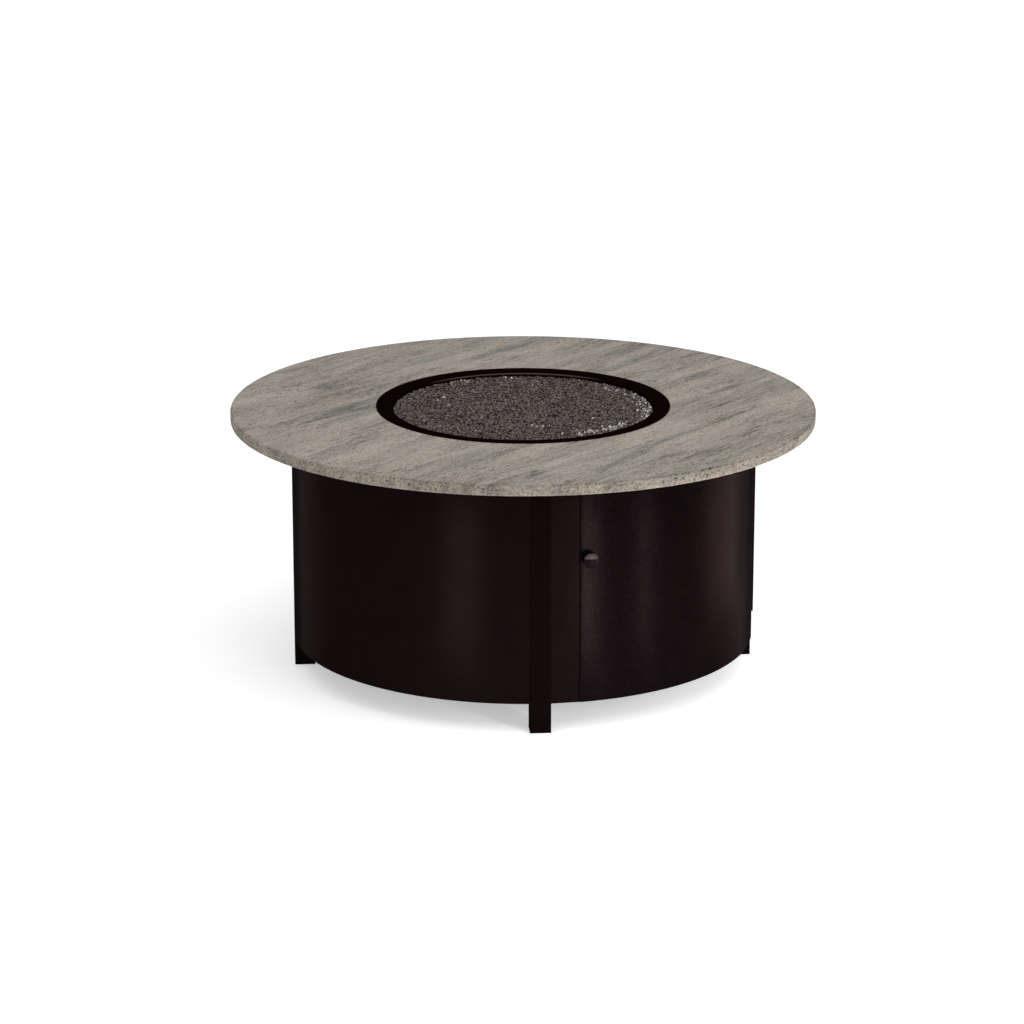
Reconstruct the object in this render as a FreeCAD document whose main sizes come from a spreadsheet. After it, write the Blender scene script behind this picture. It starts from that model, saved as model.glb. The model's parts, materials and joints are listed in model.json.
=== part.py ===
import FreeCAD, Part
import math
import os
from types import SimpleNamespace

import Sketcher

# Round gas fire pit table: a stone-look top with a drop-in burner pan, on a drum base of
# four square posts with rolled steel skins and a hinged door. Millimetres, +Z up, origin
# on the floor under the centre of the top. The front post stands on -Y, and an angle
# round the table is measured from -Y towards +X.

Vector = FreeCAD.Vector

# Driving sizes: name, value in mm or degrees, what it is.
SIZES = (
    ("table_height", 622.0, "floor to the top face"),
    ("top_diameter", 1371.6, "stone top across"),
    ("top_thickness", 25.4, "stone top"),
    ("top_round", 3.0, "eased outer edges of the top"),
    ("pan_bore", 611.0, "inside of the pan's wall"),
    ("pan_sheet", 1.5, "pan sheet thickness"),
    ("pan_space", 31.0, "pan's wall to the edge of the hole in the top"),
    ("pan_cover", 7.0, "pan's rim over the edge of that hole"),
    ("pan_lip", 2.5, "rim's outer edge above the top face"),
    ("pan_dip", 1.5, "rim's inner edge below the top face"),
    ("pan_depth", 62.0, "top face to the pan's underside"),
    ("pan_soften", 1.0, "rounding of the rim's outer edge"),
    ("pan_roll", 3.0, "rolled inner edge of the rim"),
    ("glass_drop", 10.5, "top face to the highest heap of the fire glass"),
    ("heap_height", 3.0, "low heap in the fire glass"),
    ("heap_radius", 30.0, "foot of a heap"),
    ("heap_crown", 6.0, "top of a heap"),
    ("heap_pitch", 68.0, "from one ring of heaps to the next"),
    ("fit_gap", 0.3, "gap beside a curved seat"),
    ("burner_diameter", 440.0, "centre line of the outer burner ring"),
    ("burner_inner", 220.0, "centre line of the inner burner ring"),
    ("burner_tube", 16.0, "burner tube across"),
    ("burner_wall", 1.2, "burner tube wall"),
    ("burner_lift", 8.0, "burner tube above the pan floor"),
    ("burner_port", 2.4, "gas port across"),
    ("hub_diameter", 40.0, "burner hub across"),
    ("channel_gap", 1.0, "fire glass to burner"),
    ("hub_space", 90.0, "clear space in the fire glass round the hub"),
    ("nipple_diameter", 16.0, "pipe nipple under the burner"),
    ("nipple_engage", 10.0, "nipple in the hub"),
    ("thread_gap", 0.1, "radial gap between a thread and its nut"),
    ("elbow_drop", 25.0, "pan underside to the elbow's axis"),
    ("elbow_diameter", 20.0, "elbow across"),
    ("elbow_reach", 40.0, "burner axis to the elbow's mouth"),
    ("elbow_swell", 1.5, "elbow's corner thicker than its mouth"),
    ("elbow_bore", 7.0, "elbow's passage"),
    ("nipple_bore", 8.0, "nipple's passage"),
    ("locknut_width", 30.0, "locknut across its flats"),
    ("locknut_height", 8.0, "locknut"),
    ("post_size", 48.0, "square post across"),
    ("post_wall", 2.0, "post wall"),
    ("post_corner", 3.0, "post corner radius"),
    ("post_proud", 1.3, "a post's face stands out from the skins"),
    ("foot_height", 3.0, "plastic foot plate"),
    ("foot_plug", 20.0, "foot plug inside the post"),
    ("plate_height", 3.0, "plate on top of a post"),
    ("pad_height", 3.0, "rubber pad under the top"),
    ("ring_pad_diameter", 20.0, "pad on the hole ring"),
    ("post_pad_diameter", 30.0, "pad on a post"),
    ("skin_radius", 543.2, "outside of the rolled skins"),
    ("skin_sheet", 1.5, "skin and door sheet thickness"),
    ("skin_clearance", 69.5, "floor to the skins' lower edge"),
    ("skin_top_gap", 2.0, "frame top to the skins' upper edge"),
    ("rail_size", 25.0, "rolled rail tube across"),
    ("rail_wall", 1.6, "rail tube wall"),
    ("rail_lift", 2.5, "skins' lower edge to the lower rails"),
    ("door_rail_inset", 16.4, "door rails further in than the other rails"),
    ("ring_setback", 14.0, "top's hole to the ring that carries it"),
    ("ring_width", 30.0, "hole ring bar width"),
    ("ring_height", 5.0, "hole ring bar thickness"),
    ("arm_size", 25.0, "radial arm tube across"),
    ("arm_inset", 4.0, "arm's inner end past the ring's inner edge"),
    ("bolt_diameter", 6.0, "bolt into the top"),
    ("bolt_head", 11.0, "bolt head across"),
    ("bolt_head_height", 4.0, "bolt head"),
    ("bolt_depth", 12.0, "bolt in the top"),
    ("shelf_sheet", 1.5, "shelf sheet thickness"),
    ("shelf_setback", 6.4, "outside of the rails to the shelf's edge"),
    ("shelf_vent", 40.0, "vent hole in the shelf"),
    ("shelf_vent_setback", 115.0, "shelf's edge to the middle of a vent"),
    ("screw_diameter", 4.8, "shelf and panel screw"),
    ("screw_head", 10.0, "screw head across"),
    ("screw_head_height", 2.5, "screw head"),
    ("screw_length", 6.0, "screw under its head"),
    ("tank_bay", 172.0, "tank centre from the axis along X and -Y"),
    ("tank_ring", 216.0, "inside of the ring round the tank's foot"),
    ("tank_ring_sheet", 2.0, "tank ring thickness"),
    ("tank_ring_height", 10.0, "tank ring height"),
    ("door_edge", 9.55, "degrees from a post to the door's edge"),
    ("door_gap", 2.0, "latch strip to the door"),
    ("door_proud", 1.6, "door stands out from the skins"),
    ("door_return", 14.0, "depth of the door's turned-in edges"),
    ("strip_return", 15.0, "depth of a strip's turned-in edges"),
    ("bend_radius", 3.0, "outside of a sheet bend"),
    ("rib_depth", 11.0, "door rib, radially"),
    ("rib_height", 4.0, "door rib thickness"),
    ("rib_inset", 2.0, "door's ends to the outer ribs"),
    ("rib_middle", 330.0, "floor to the middle door rib"),
    ("hinge_length", 457.2, "piano hinge"),
    ("hinge_drop", 3.0, "door top to the hinge"),
    ("hinge_stand", 0.3, "hinge axis beyond the door's face"),
    ("barrel_radius", 2.8, "hinge barrel"),
    ("hinge_pin_radius", 1.25, "hinge pin"),
    ("pin_gap", 0.05, "running gap of a pin or stem"),
    ("leaf_sheet", 1.0, "hinge leaf thickness"),
    ("leaf_width", 16.0, "hinge leaf"),
    ("leaf_half_gap", 1.0, "hinge plane to a leaf's inner face"),
    ("knuckle_gap", 0.4, "gap between knuckles"),
    ("knuckle_clear", 0.4, "leaf edge to the other leaf's knuckles"),
    ("knob_diameter", 35.0, "door knob across"),
    ("knob_reach", 27.0, "door knob stands out"),
    ("knob_neck", 16.0, "door knob's neck across"),
    ("knob_flare", 8.1, "door knob's foot to where it widens"),
    ("knob_rim", 16.74, "door knob's foot to its widest place"),
    ("knob_height", 406.0, "floor to the door knob"),
    ("knob_angle", 11.45, "degrees from the front post to the knob"),
    ("knob_seat", 0.1, "knob's foot off the curved door"),
    ("knob_screw_diameter", 4.0, "door knob screw"),
    ("knob_screw_depth", 12.0, "screw in the knob"),
    ("magnet_angle", 15.0, "degrees from the front post to the magnet"),
    ("magnet_width", 40.0, "magnet along the rail"),
    ("magnet_height", 14.0, "magnet"),
    ("strike_width", 36.0, "strike plate"),
    ("strike_height", 12.0, "strike plate"),
    ("strike_sheet", 1.5, "strike plate thickness"),
    ("panel_angle", 20.0, "degrees from the front post to the controls"),
    ("panel_setback", 55.0, "outside of the door's rails to the panel's face"),
    ("panel_width", 130.0, "control panel"),
    ("panel_drop", 88.0, "control panel below its rail"),
    ("panel_sheet", 2.0, "control panel thickness"),
    ("panel_flange", 42.0, "flange under the rail"),
    ("panel_screw_side", 45.0, "panel's middle to its screws"),
    ("control_drop", 43.0, "rail underside to the controls' axes"),
    ("valve_offset", -20.0, "panel centre to the valve"),
    ("valve_width", 34.0, "valve body across"),
    ("valve_depth", 40.0, "valve body behind the panel"),
    ("valve_height", 30.0, "valve body"),
    ("valve_outlet", 16.0, "valve outlet across"),
    ("valve_outlet_reach", 20.0, "valve outlet beyond the body"),
    ("stem_radius", 4.0, "valve stem"),
    ("stem_hole", 12.0, "hole in the panel for the stem"),
    ("stem_depth", 14.0, "stem in the valve body"),
    ("stem_end_gap", 1.0, "space past the end of the stem or the button"),
    ("stem_reach", 18.0, "stem in front of the panel"),
    ("dial_diameter", 38.0, "valve knob across"),
    ("dial_gap", 4.0, "panel to the valve knob"),
    ("dial_depth", 12.0, "valve knob's skirt"),
    ("grip_height", 9.0, "finger bar on the valve knob"),
    ("grip_width", 9.0, "finger bar across"),
    ("grip_length", 36.0, "finger bar along"),
    ("inlet_diameter", 15.88, "gas inlet thread"),
    ("inlet_length", 18.0, "gas inlet thread"),
    ("inlet_bore", 7.0, "gas inlet's passage"),
    ("inlet_hex", 22.0, "gas inlet's collar across its flats"),
    ("inlet_hex_height", 6.0, "gas inlet's collar"),
    ("igniter_offset", 38.0, "panel centre to the igniter"),
    ("igniter_radius", 9.0, "igniter body"),
    ("igniter_depth", 45.0, "igniter body behind the panel"),
    ("igniter_flange", 13.0, "igniter flange radius"),
    ("igniter_flange_height", 3.0, "igniter flange"),
    ("igniter_nut_height", 4.0, "igniter nut"),
    ("button_radius", 7.0, "igniter button"),
    ("button_reach", 6.0, "button beyond the flange"),
    ("button_depth", 12.0, "button inside the igniter"),
    ("button_travel", 4.0, "button travel"),
    ("hole_gap", 0.3, "radial gap of a panel hole"),
    ("electrode_radius", 3.0, "igniter electrode"),
    ("electrode_offset", 24.0, "burner axis to the electrode along -X and -Y"),
    ("electrode_drop", 16.0, "electrode under the pan"),
    ("electrode_rise", 20.0, "electrode above the pan's underside"),
    ("boot_radius", 2.0, "electrode's terminal"),
    ("boot_lift", 5.0, "electrode's lower end to its terminal's axis"),
    ("boot_reach", 12.0, "electrode axis to the terminal's mouth"),
    ("hose_diameter", 12.0, "burner hose"),
    ("hose_start", 60.0, "hose straight out of the valve"),
    ("hose_side", 165.0, "burner axis to the hose's last run, along -X"),
    ("hose_turn", 150.0, "burner axis to the start of that run, along -Y"),
    ("lead_diameter", 2.5, "igniter lead"),
    ("lead_start", 22.0, "lead straight out of the igniter"),
    ("lead_end", 40.0, "lead straight into the electrode's terminal"),
)

KNUCKLES = 9
OUTER_PORTS = 24
INNER_PORTS = 12
RING_PADS = 8
HEAP_RINGS = 4
HEAP_SHARES = (1.0, 0.7, 0.85)
SHELF_VENTS = 8
QUARTER = 90.0
SCREW_ANGLES = (30.0, 60.0)

# Where the hose and the lead bend: share of the panel's radius, degrees round the table from
# the front post, and mm above the valve's axis, the elbow's axis or the terminal's axis.
HOSE_FIRST = (0.864, -9.9, 2.0)
HOSE_SECOND = (0.676, -28.2, -2.0)
LEAD_BENDS = (
    (0.830, 21.0, -14.0), (0.802, 13.8, -6.0), (0.775, 6.3, 2.0), (0.702, -0.4, 4.0),
    (0.597, -3.7, 2.0), (0.475, -5.7, -2.0), (0.353, -9.0, -1.0), (0.234, -15.8, 1.0),
)

doc = FreeCAD.newDocument("FirePitTable")
sheet = doc.addObject("Spreadsheet::Sheet", "Sizes")
nodes = []


class Size:
    """A length or an angle, with the sheet formula that gives it."""

    def __init__(self, value, formula):
        self.value = float(value)
        self.formula = formula

    def __add__(self, other):
        other = as_size(other)
        return Size(self.value + other.value, f"({self.formula} + {other.formula})")

    def __sub__(self, other):
        other = as_size(other)
        return Size(self.value - other.value, f"({self.formula} - {other.formula})")

    def __mul__(self, other):
        other = as_size(other)
        return Size(self.value * other.value, f"({self.formula} * {other.formula})")

    def __truediv__(self, other):
        other = as_size(other)
        return Size(self.value / other.value, f"({self.formula} / {other.formula})")

    def __neg__(self):
        return Size(-self.value, f"(0 - {self.formula})")


def as_size(number):
    return number if isinstance(number, Size) else Size(number, repr(float(number)))


def sine(angle):
    return Size(math.sin(math.radians(angle.value)), f"sin({angle.formula})")


def cosine(angle):
    return Size(math.cos(math.radians(angle.value)), f"cos({angle.formula})")


def side_of(long, short):
    """The other side of a right triangle with this longest side."""
    value = math.sqrt(long.value ** 2 - short.value ** 2)
    return Size(value, f"sqrt({long.formula} * {long.formula} - {short.formula} * {short.formula})")


def fill_sheet():
    """Writes the sizes to the sheet and returns them by name."""
    found = SimpleNamespace()
    for row, (name, value, note) in enumerate(SIZES, start=1):
        sheet.set(f"A{row}", note)
        sheet.set(f"B{row}", str(value))
        sheet.setAlias(f"B{row}", name)
        setattr(found, name, Size(value, f"Sizes.{name}"))
    return found


d = fill_sheet()
doc.recompute()

# Heights and radii that several pieces share.
ZERO = as_size(0.0)
top_under = d.table_height - d.top_thickness
frame_top = top_under - d.pad_height
skin_top = frame_top - d.skin_top_gap
post_half = d.post_size / 2
post_reach = d.skin_radius + d.post_proud
post_middle = post_reach - post_half
pan_under = d.table_height - d.pan_depth
pan_floor = pan_under + d.pan_sheet
burner_axis = pan_floor + d.burner_lift + d.burner_tube / 2
top_hole = d.pan_bore / 2 + d.pan_sheet + d.pan_space
pan_rim = top_hole + d.pan_cover
ring_under = frame_top - d.ring_height
ring_inner = top_hole + d.ring_setback
ring_middle = ring_inner + d.ring_width / 2
rail_outer = d.skin_radius - d.skin_sheet - d.fit_gap
door_rail_outer = rail_outer - d.door_rail_inset
lower_rail = d.skin_clearance + d.rail_lift
upper_rail = frame_top - d.rail_size
door_radius = d.skin_radius + d.door_proud
door_inner = door_radius - d.skin_sheet
hinge_angle = as_size(QUARTER) - d.door_edge
hinge_radius = door_radius + d.hinge_stand
hinge_side = d.leaf_half_gap + d.leaf_sheet
hinge_top = skin_top - d.hinge_drop
hinge_low = hinge_top - d.hinge_length
control_height = upper_rail - d.control_drop
panel_radius = door_rail_outer - d.panel_setback
panel_back = panel_radius - d.panel_sheet
shelf_radius = rail_outer - d.shelf_setback
elbow_height = pan_under - d.elbow_drop


def polar(radius, angle, side=ZERO):
    """A point at this angle from -Y towards +X, then this far on round the table."""
    x = radius * sine(angle) + side * cosine(angle)
    y = side * sine(angle) - radius * cosine(angle)
    return x, y


# How each way of lying turns a thing that stands on +Z: out is -Y, in is +Y, right is +X.
WAYS = {
    "up": "rotationx(0)", "down": "rotationx(180)", "out": "rotationx(90)", "in": "rotationx(-90)",
    "right": "rotationy(90)",
}


def place(thing, x=ZERO, y=ZERO, z=ZERO, turn=ZERO, to="up"):
    """Lays the thing this way, moves it there, and then turns it about the table's axis."""
    x, y, z, turn = (as_size(each).formula for each in (x, y, z, turn))
    about = f"placement(vector(0; 0; 0); rotationz({turn}))"
    thing.setExpression("Placement", f"{about} * placement(vector({x}; {y}; {z}); {WAYS[to]})")
    return thing


def keep(thing, name):
    """Makes the thing one of the table's pieces."""
    thing.Label = name
    nodes.append(thing)
    return thing


def box(name, corner, size, turn=ZERO):
    """A block from its lowest corner."""
    block = doc.addObject("Part::Box", name)
    for side, length in zip(("Length", "Width", "Height"), size):
        block.setExpression(side, as_size(length).formula)
    return place(block, *corner, turn)


def rod(name, radius, length, x=ZERO, y=ZERO, z=ZERO, to="up", turn=ZERO):
    """A cylinder that starts at this point."""
    cylinder = doc.addObject("Part::Cylinder", name)
    cylinder.setExpression("Radius", as_size(radius).formula)
    cylinder.setExpression("Height", as_size(length).formula)
    return place(cylinder, x, y, z, turn, to)


def hexagon(name, width, height, x, y, z):
    """A hexagonal prism this wide across its flats."""
    prism = doc.addObject("Part::Prism", name)
    prism.Polygon = 6
    prism.setExpression("Circumradius", (width / math.sqrt(3.0)).formula)
    prism.setExpression("Height", height.formula)
    return place(prism, x, y, z)


def fuse(name, *parts):
    joined = doc.addObject("Part::MultiFuse", name)
    joined.Shapes = list(parts)
    return joined


def cut(name, base, *tools):
    left = doc.addObject("Part::Cut", name)
    left.Base = base
    left.Tool = tools[0] if len(tools) == 1 else fuse(name + "_cuts", *tools)
    return left


def group(name, *parts):
    """Separate solids that share one node."""
    together = doc.addObject("Part::Compound", name)
    together.Links = list(parts)
    return together


def new_body(name):
    return doc.addObject("PartDesign::Body", name)


def arc_between(start, end, radius, turn):
    """The arc from start to end, and the numbers of its ends there."""
    chord = end - start
    across = Vector(-chord.y, chord.x, 0).normalize() * turn
    centre = (start + end) / 2 + across * math.sqrt(radius ** 2 - (chord.Length / 2) ** 2)
    first, last = (start, end) if turn > 0 else (end, start)
    angles = [math.atan2(point.y - centre.y, point.x - centre.x) for point in (first, last)]
    arc = Part.ArcOfCircle(Part.Circle(centre, Vector(0, 0, 1), radius), *angles)
    return arc, (1, 2) if turn > 0 else (2, 1)


def add_loop(sketch, loop):
    """Draws a closed loop whose corners and radii follow the sheet.

    A corner is (x, y), or (x, y, radius, turn) where an arc leads to it: turn is 1 for an
    arc to the left and -1 for one to the right.
    """
    first = len(sketch.Geometry)
    ends = []
    shapes = []
    for index, corner in enumerate(loop):
        before = loop[index - 1]
        start = Vector(before[0].value, before[1].value, 0)
        end = Vector(corner[0].value, corner[1].value, 0)
        if len(corner) == 4:
            shape, numbers = arc_between(start, end, corner[2].value, corner[3])
        else:
            shape, numbers = Part.LineSegment(start, end), (1, 2)
        shapes.append(shape)
        ends.append(numbers)
    sketch.addGeometry(shapes, False)
    for index, corner in enumerate(loop):
        edge = first + index
        after = (index + 1) % len(loop)
        joined = (edge, ends[index][1], first + after, ends[after][0])
        sketch.addConstraint(Sketcher.Constraint("Coincident", *joined))
    for index, corner in enumerate(loop):
        edge = first + index
        wanted = [("DistanceX", corner[0]), ("DistanceY", corner[1])]
        for kind, size in wanted:
            bind_constraint(sketch, Sketcher.Constraint(kind, edge, ends[index][1], size.value), size)
        if len(corner) == 4:
            bind_constraint(sketch, Sketcher.Constraint("Radius", edge, corner[2].value), corner[2])


def add_circle(sketch, x, y, radius):
    circle = Part.Circle(Vector(x.value, y.value, 0), Vector(0, 0, 1), radius.value)
    edge = sketch.addGeometry(circle, False)
    for kind, size in (("DistanceX", x), ("DistanceY", y)):
        bind_constraint(sketch, Sketcher.Constraint(kind, edge, 3, size.value), size)
    bind_constraint(sketch, Sketcher.Constraint("Radius", edge, radius.value), radius)


def bind_constraint(sketch, constraint, size):
    """Adds the constraint and ties it to the sheet."""
    number = sketch.addConstraint(constraint)
    name = f"size{number}"
    sketch.renameConstraint(number, name)
    sketch.setExpression(f"Constraints.{name}", size.formula)


def new_sketch(body, name, plane="XY_Plane", lift=ZERO):
    """An empty sketch on one of the body's own planes, raised by lift."""
    sketch = body.newObject("Sketcher::SketchObject", name)
    planes = {feature.Role: feature for feature in body.Origin.OriginFeatures}
    sketch.AttachmentSupport = [(planes[plane], "")]
    sketch.MapMode = "FlatFace"
    sketch.setExpression("AttachmentOffset.Base.z", lift.formula)
    return sketch


def pad(body, sketch, height):
    """Raises the sketch into a solid."""
    feature = body.newObject("PartDesign::Pad", sketch.Name + "_pad")
    feature.Profile = sketch
    feature.setExpression("Length", height.formula)
    sketch.Visibility = False
    return feature


def pocket(body, sketch, depth, up=False):
    """Cuts the sketch down into the solid, or up where asked, and checks that it cuts."""
    doc.recompute()
    before = body.Shape.Volume
    feature = body.newObject("PartDesign::Pocket", sketch.Name + "_pocket")
    feature.Profile = sketch
    feature.Reversed = up
    feature.setExpression("Length", depth.formula)
    doc.recompute()
    if not body.Shape.Volume < before:
        raise RuntimeError(f"{feature.Name} cuts nothing")
    return feature


def revolve(body, sketch):
    """Turns the sketch fully round its own upright axis."""
    feature = body.newObject("PartDesign::Revolution", sketch.Name + "_turned")
    feature.Profile = sketch
    feature.ReferenceAxis = (sketch, ["V_Axis"])
    feature.Angle = 360.0
    return feature


def around(body, feature, name, count):
    """Repeats a feature evenly round the body's Z axis."""
    pattern = body.newObject("PartDesign::PolarPattern", name)
    pattern.Originals = [feature]
    axes = {each.Role: each for each in body.Origin.OriginFeatures}
    pattern.Axis = (axes["Z_Axis"], [""])
    pattern.Angle = 360.0
    pattern.Occurrences = count
    body.Tip = pattern
    return pattern


def round_edges(body, radius, wanted, name):
    """Rounds the edges of the body's last feature for which wanted is true."""
    doc.recompute()
    base = body.Tip
    picked = [f"Edge{index}" for index, edge in enumerate(base.Shape.Edges, start=1) if wanted(edge)]
    feature = body.newObject("PartDesign::Fillet", name)
    feature.Base = (base, picked)
    feature.setExpression("Radius", radius.formula)
    return feature


def upright_at(spots):
    """Tells the upright edges that stand on one of these spots."""
    points = [(x.value, y.value) for x, y in spots]

    def wanted(edge):
        low, high = edge.BoundBox.ZMin, edge.BoundBox.ZMax
        middle = edge.CenterOfMass
        near = any(math.hypot(middle.x - x, middle.y - y) < 0.01 for x, y in points)
        return near and high - low > 1.0

    return wanted


def circle_at(radius, height):
    """Tells the level circle of this radius at this height."""

    def wanted(edge):
        if edge.Degenerated or not isinstance(edge.Curve, Part.Circle):
            return False
        bounds = edge.BoundBox
        level = max(abs(bounds.ZMin - height.value), abs(bounds.ZMax - height.value)) < 0.01
        return level and abs(edge.Curve.Radius - radius.value) < 0.01

    return wanted


def any_of(*tests):
    return lambda edge: any(test(edge) for test in tests)


def make_stone_top():
    """The round stone-look top, with eased edges and blind holes for its bolts."""
    body = new_body("stone_top_body")
    section = new_sketch(body, "stone_top_section", "XZ_Plane")
    inner, outer = top_hole, d.top_diameter / 2
    high = d.table_height
    add_loop(section, [(inner, top_under), (outer, top_under), (outer, high), (inner, high)])
    revolve(body, section)
    edges = any_of(circle_at(outer, top_under), circle_at(outer, d.table_height))
    round_edges(body, d.top_round, edges, "stone_top_round")
    holes = new_sketch(body, "stone_top_hole", lift=top_under)
    add_circle(holes, *polar(ring_middle, as_size(QUARTER / 2)), d.bolt_diameter / 2 + d.thread_gap)
    blind = pocket(body, holes, d.bolt_depth + d.thread_gap * 10, up=True)
    around(body, blind, "stone_top_holes", 4)
    keep(body, "stone_top")


def make_burner_pan():
    """The drop-in pan: a dished rim on the stone, an upright wall and a flat floor."""
    body = new_body("burner_pan_body")
    section = new_sketch(body, "burner_pan_section", "XZ_Plane")
    bore, rim, sheet_t = d.pan_bore / 2, pan_rim, d.pan_sheet
    slope = (d.pan_lip + d.pan_dip) / (rim - bore)
    rim_high = d.table_height + d.pan_lip
    rim_low = d.table_height - d.pan_dip
    roll_under = rim_low + slope * sheet_t - sheet_t
    hole = d.nipple_diameter / 2 + d.hole_gap
    add_loop(section, [
        (hole, pan_under), (bore + sheet_t, pan_under),
        (bore + sheet_t, roll_under),
        (rim - sheet_t, rim_high - slope * sheet_t - sheet_t),
        (rim - sheet_t, d.table_height), (rim, d.table_height), (rim, rim_high),
        (bore, rim_low), (bore, pan_floor), (hole, pan_floor),
    ])
    revolve(body, section)
    round_edges(body, d.pan_soften, circle_at(rim, rim_high), "burner_pan_lip_round")
    round_edges(body, d.pan_roll, circle_at(bore, rim_low), "burner_pan_roll")
    round_edges(body, d.pan_roll - sheet_t, circle_at(bore + sheet_t, roll_under), "burner_pan_roll_under")
    lead_hole = new_sketch(body, "burner_pan_lead_hole", lift=pan_floor)
    spot = -d.electrode_offset
    add_circle(lead_hole, spot, spot, d.electrode_radius + d.hole_gap)
    pocket(body, lead_hole, d.pan_sheet)
    keep(body, "burner_pan")


def make_fire_glass():
    """The bed of crushed glass in low heaps, with channels where the burner lies in it."""
    height = d.table_height - d.glass_drop - d.heap_height - pan_floor
    bed = rod("glass_bed", d.pan_bore / 2 - d.fit_gap, height, z=pan_floor)
    heaps = [heap("glass_heap0", ZERO, ZERO, HEAP_SHARES[0])]
    for ring in range(1, HEAP_RINGS + 1):
        for index in range(6 * ring):
            spot = polar(d.heap_pitch * ring, as_size(60.0 / ring * index))
            share = HEAP_SHARES[(ring + index) % len(HEAP_SHARES)]
            heaps.append(heap(f"glass_heap{ring}_{index}", *spot, share))
    heaped = fuse("glass_heaped", bed, *heaps)
    half = d.burner_tube / 2 + d.channel_gap
    deep = d.burner_lift + d.burner_tube + d.channel_gap
    tools = [rod("glass_hub_space", d.hub_space / 2, deep, z=pan_floor)]
    for name, diameter in (("outer", d.burner_diameter), ("inner", d.burner_inner)):
        wide = rod(f"glass_{name}_wide", diameter / 2 + half, deep, z=pan_floor)
        core = rod(f"glass_{name}_core", diameter / 2 - half, deep, z=pan_floor)
        tools.append(cut(f"glass_{name}_channel", wide, core))
    reach = d.burner_diameter / 2
    tools.append(box("glass_cross_x", (-reach, -half, pan_floor), (reach * 2, half * 2, deep)))
    tools.append(box("glass_cross_y", (-half, -reach, pan_floor), (half * 2, reach * 2, deep)))
    keep(cut("fire_glass_cut", heaped, *tools), "fire_glass")


def heap(name, x, y, share):
    """A low cone of fire glass this share of the full height."""
    cone = doc.addObject("Part::Cone", name)
    cone.setExpression("Radius1", d.heap_radius.formula)
    cone.setExpression("Radius2", d.heap_crown.formula)
    cone.setExpression("Height", (d.heap_height * share).formula)
    return place(cone, x, y, d.table_height - d.glass_drop - d.heap_height)


def torus(name, diameter, tube_radius):
    ring = doc.addObject("Part::Torus", name)
    ring.setExpression("Radius1", (diameter / 2).formula)
    ring.setExpression("Radius2", tube_radius.formula)
    return place(ring, z=burner_axis)


def burner_tubes(name, radius):
    """Both rings and the four spokes, as tubes of this radius."""
    reach = d.burner_diameter / 2
    spoke = radius - d.burner_wall / 2
    along = rod(f"{name}_spokes_x", spoke, reach * 2, x=-reach, z=burner_axis, to="right")
    across = rod(f"{name}_spokes_y", spoke, reach * 2, y=-reach, z=burner_axis, to="in")
    rings = [torus(f"{name}_ring", diameter, radius) for diameter in (d.burner_diameter, d.burner_inner)]
    return rings + [along, across]


def make_burner_ring():
    """The stainless double ring burner, hollow, with gas ports on its top."""
    radius = d.burner_tube / 2
    hub = rod("burner_hub", d.hub_diameter / 2, d.burner_tube, z=burner_axis - radius)
    metal = fuse("burner_metal", hub, *burner_tubes("burner_metal", radius))
    gas = burner_tubes("burner_gas", radius - d.burner_wall)
    bore = d.nipple_diameter / 2 + d.thread_gap
    gas.append(rod("burner_hub_bore", bore, d.nipple_engage + d.thread_gap, z=burner_axis - radius))
    for diameter, count in ((d.burner_diameter, OUTER_PORTS), (d.burner_inner, INNER_PORTS)):
        for index in range(count):
            angle = as_size(360.0 / count * (index + 0.5))
            x, y = polar(diameter / 2, angle)
            gas.append(rod("burner_gas_port", d.burner_port / 2, d.burner_tube, x, y, burner_axis))
    keep(cut("burner_ring_cut", metal, *gas), "burner_ring")
    feet = []
    spot = (d.burner_diameter + d.burner_inner) / 4
    width = d.burner_tube / 2
    low = radius - d.burner_wall / 2
    for index in range(4):
        corner = (-width / 2, -spot - width, pan_floor)
        foot = box(f"burner_foot{index}", corner, (width, width * 2, d.burner_lift))
        start = -spot - width * 2
        saddle = rod(f"burner_foot_saddle{index}", low, width * 4, y=start, z=burner_axis, to="in")
        feet.append(place(cut(f"burner_foot_cut{index}", foot, saddle), turn=QUARTER * index))
    keep(group("burner_feet_group", *feet), "burner_feet")


def make_burner_inlet():
    """The nipple and elbow under the burner, and the locknut that holds it to the pan."""
    nipple_r = d.nipple_diameter / 2
    height = burner_axis - d.burner_tube / 2 + d.nipple_engage - elbow_height
    nipple = rod("inlet_nipple", nipple_r, height, z=elbow_height)
    elbow_r, reach = d.elbow_diameter / 2, d.elbow_reach
    knee_r = elbow_r + d.elbow_swell
    knee = rod("inlet_knee", knee_r, knee_r * 2, z=elbow_height - knee_r)
    mouth = rod("inlet_mouth", elbow_r, reach, x=-reach, z=elbow_height, to="right")
    passage = rod("inlet_passage", d.elbow_bore / 2, reach, x=-reach, z=elbow_height, to="right")
    riser = rod("inlet_riser", d.nipple_bore / 2, height + d.burner_tube, z=elbow_height)
    keep(cut("burner_inlet_cut", fuse("inlet_metal", nipple, knee, mouth), passage, riser), "burner_inlet")
    low = pan_under - d.locknut_height
    nut = hexagon("locknut_hex", d.locknut_width, d.locknut_height, ZERO, ZERO, low)
    bore = rod("locknut_bore", nipple_r + d.thread_gap, d.locknut_height, z=low)
    keep(cut("pan_locknut_cut", nut, bore), "pan_locknut")


POSTS = ("front", "right", "back", "left")


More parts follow.
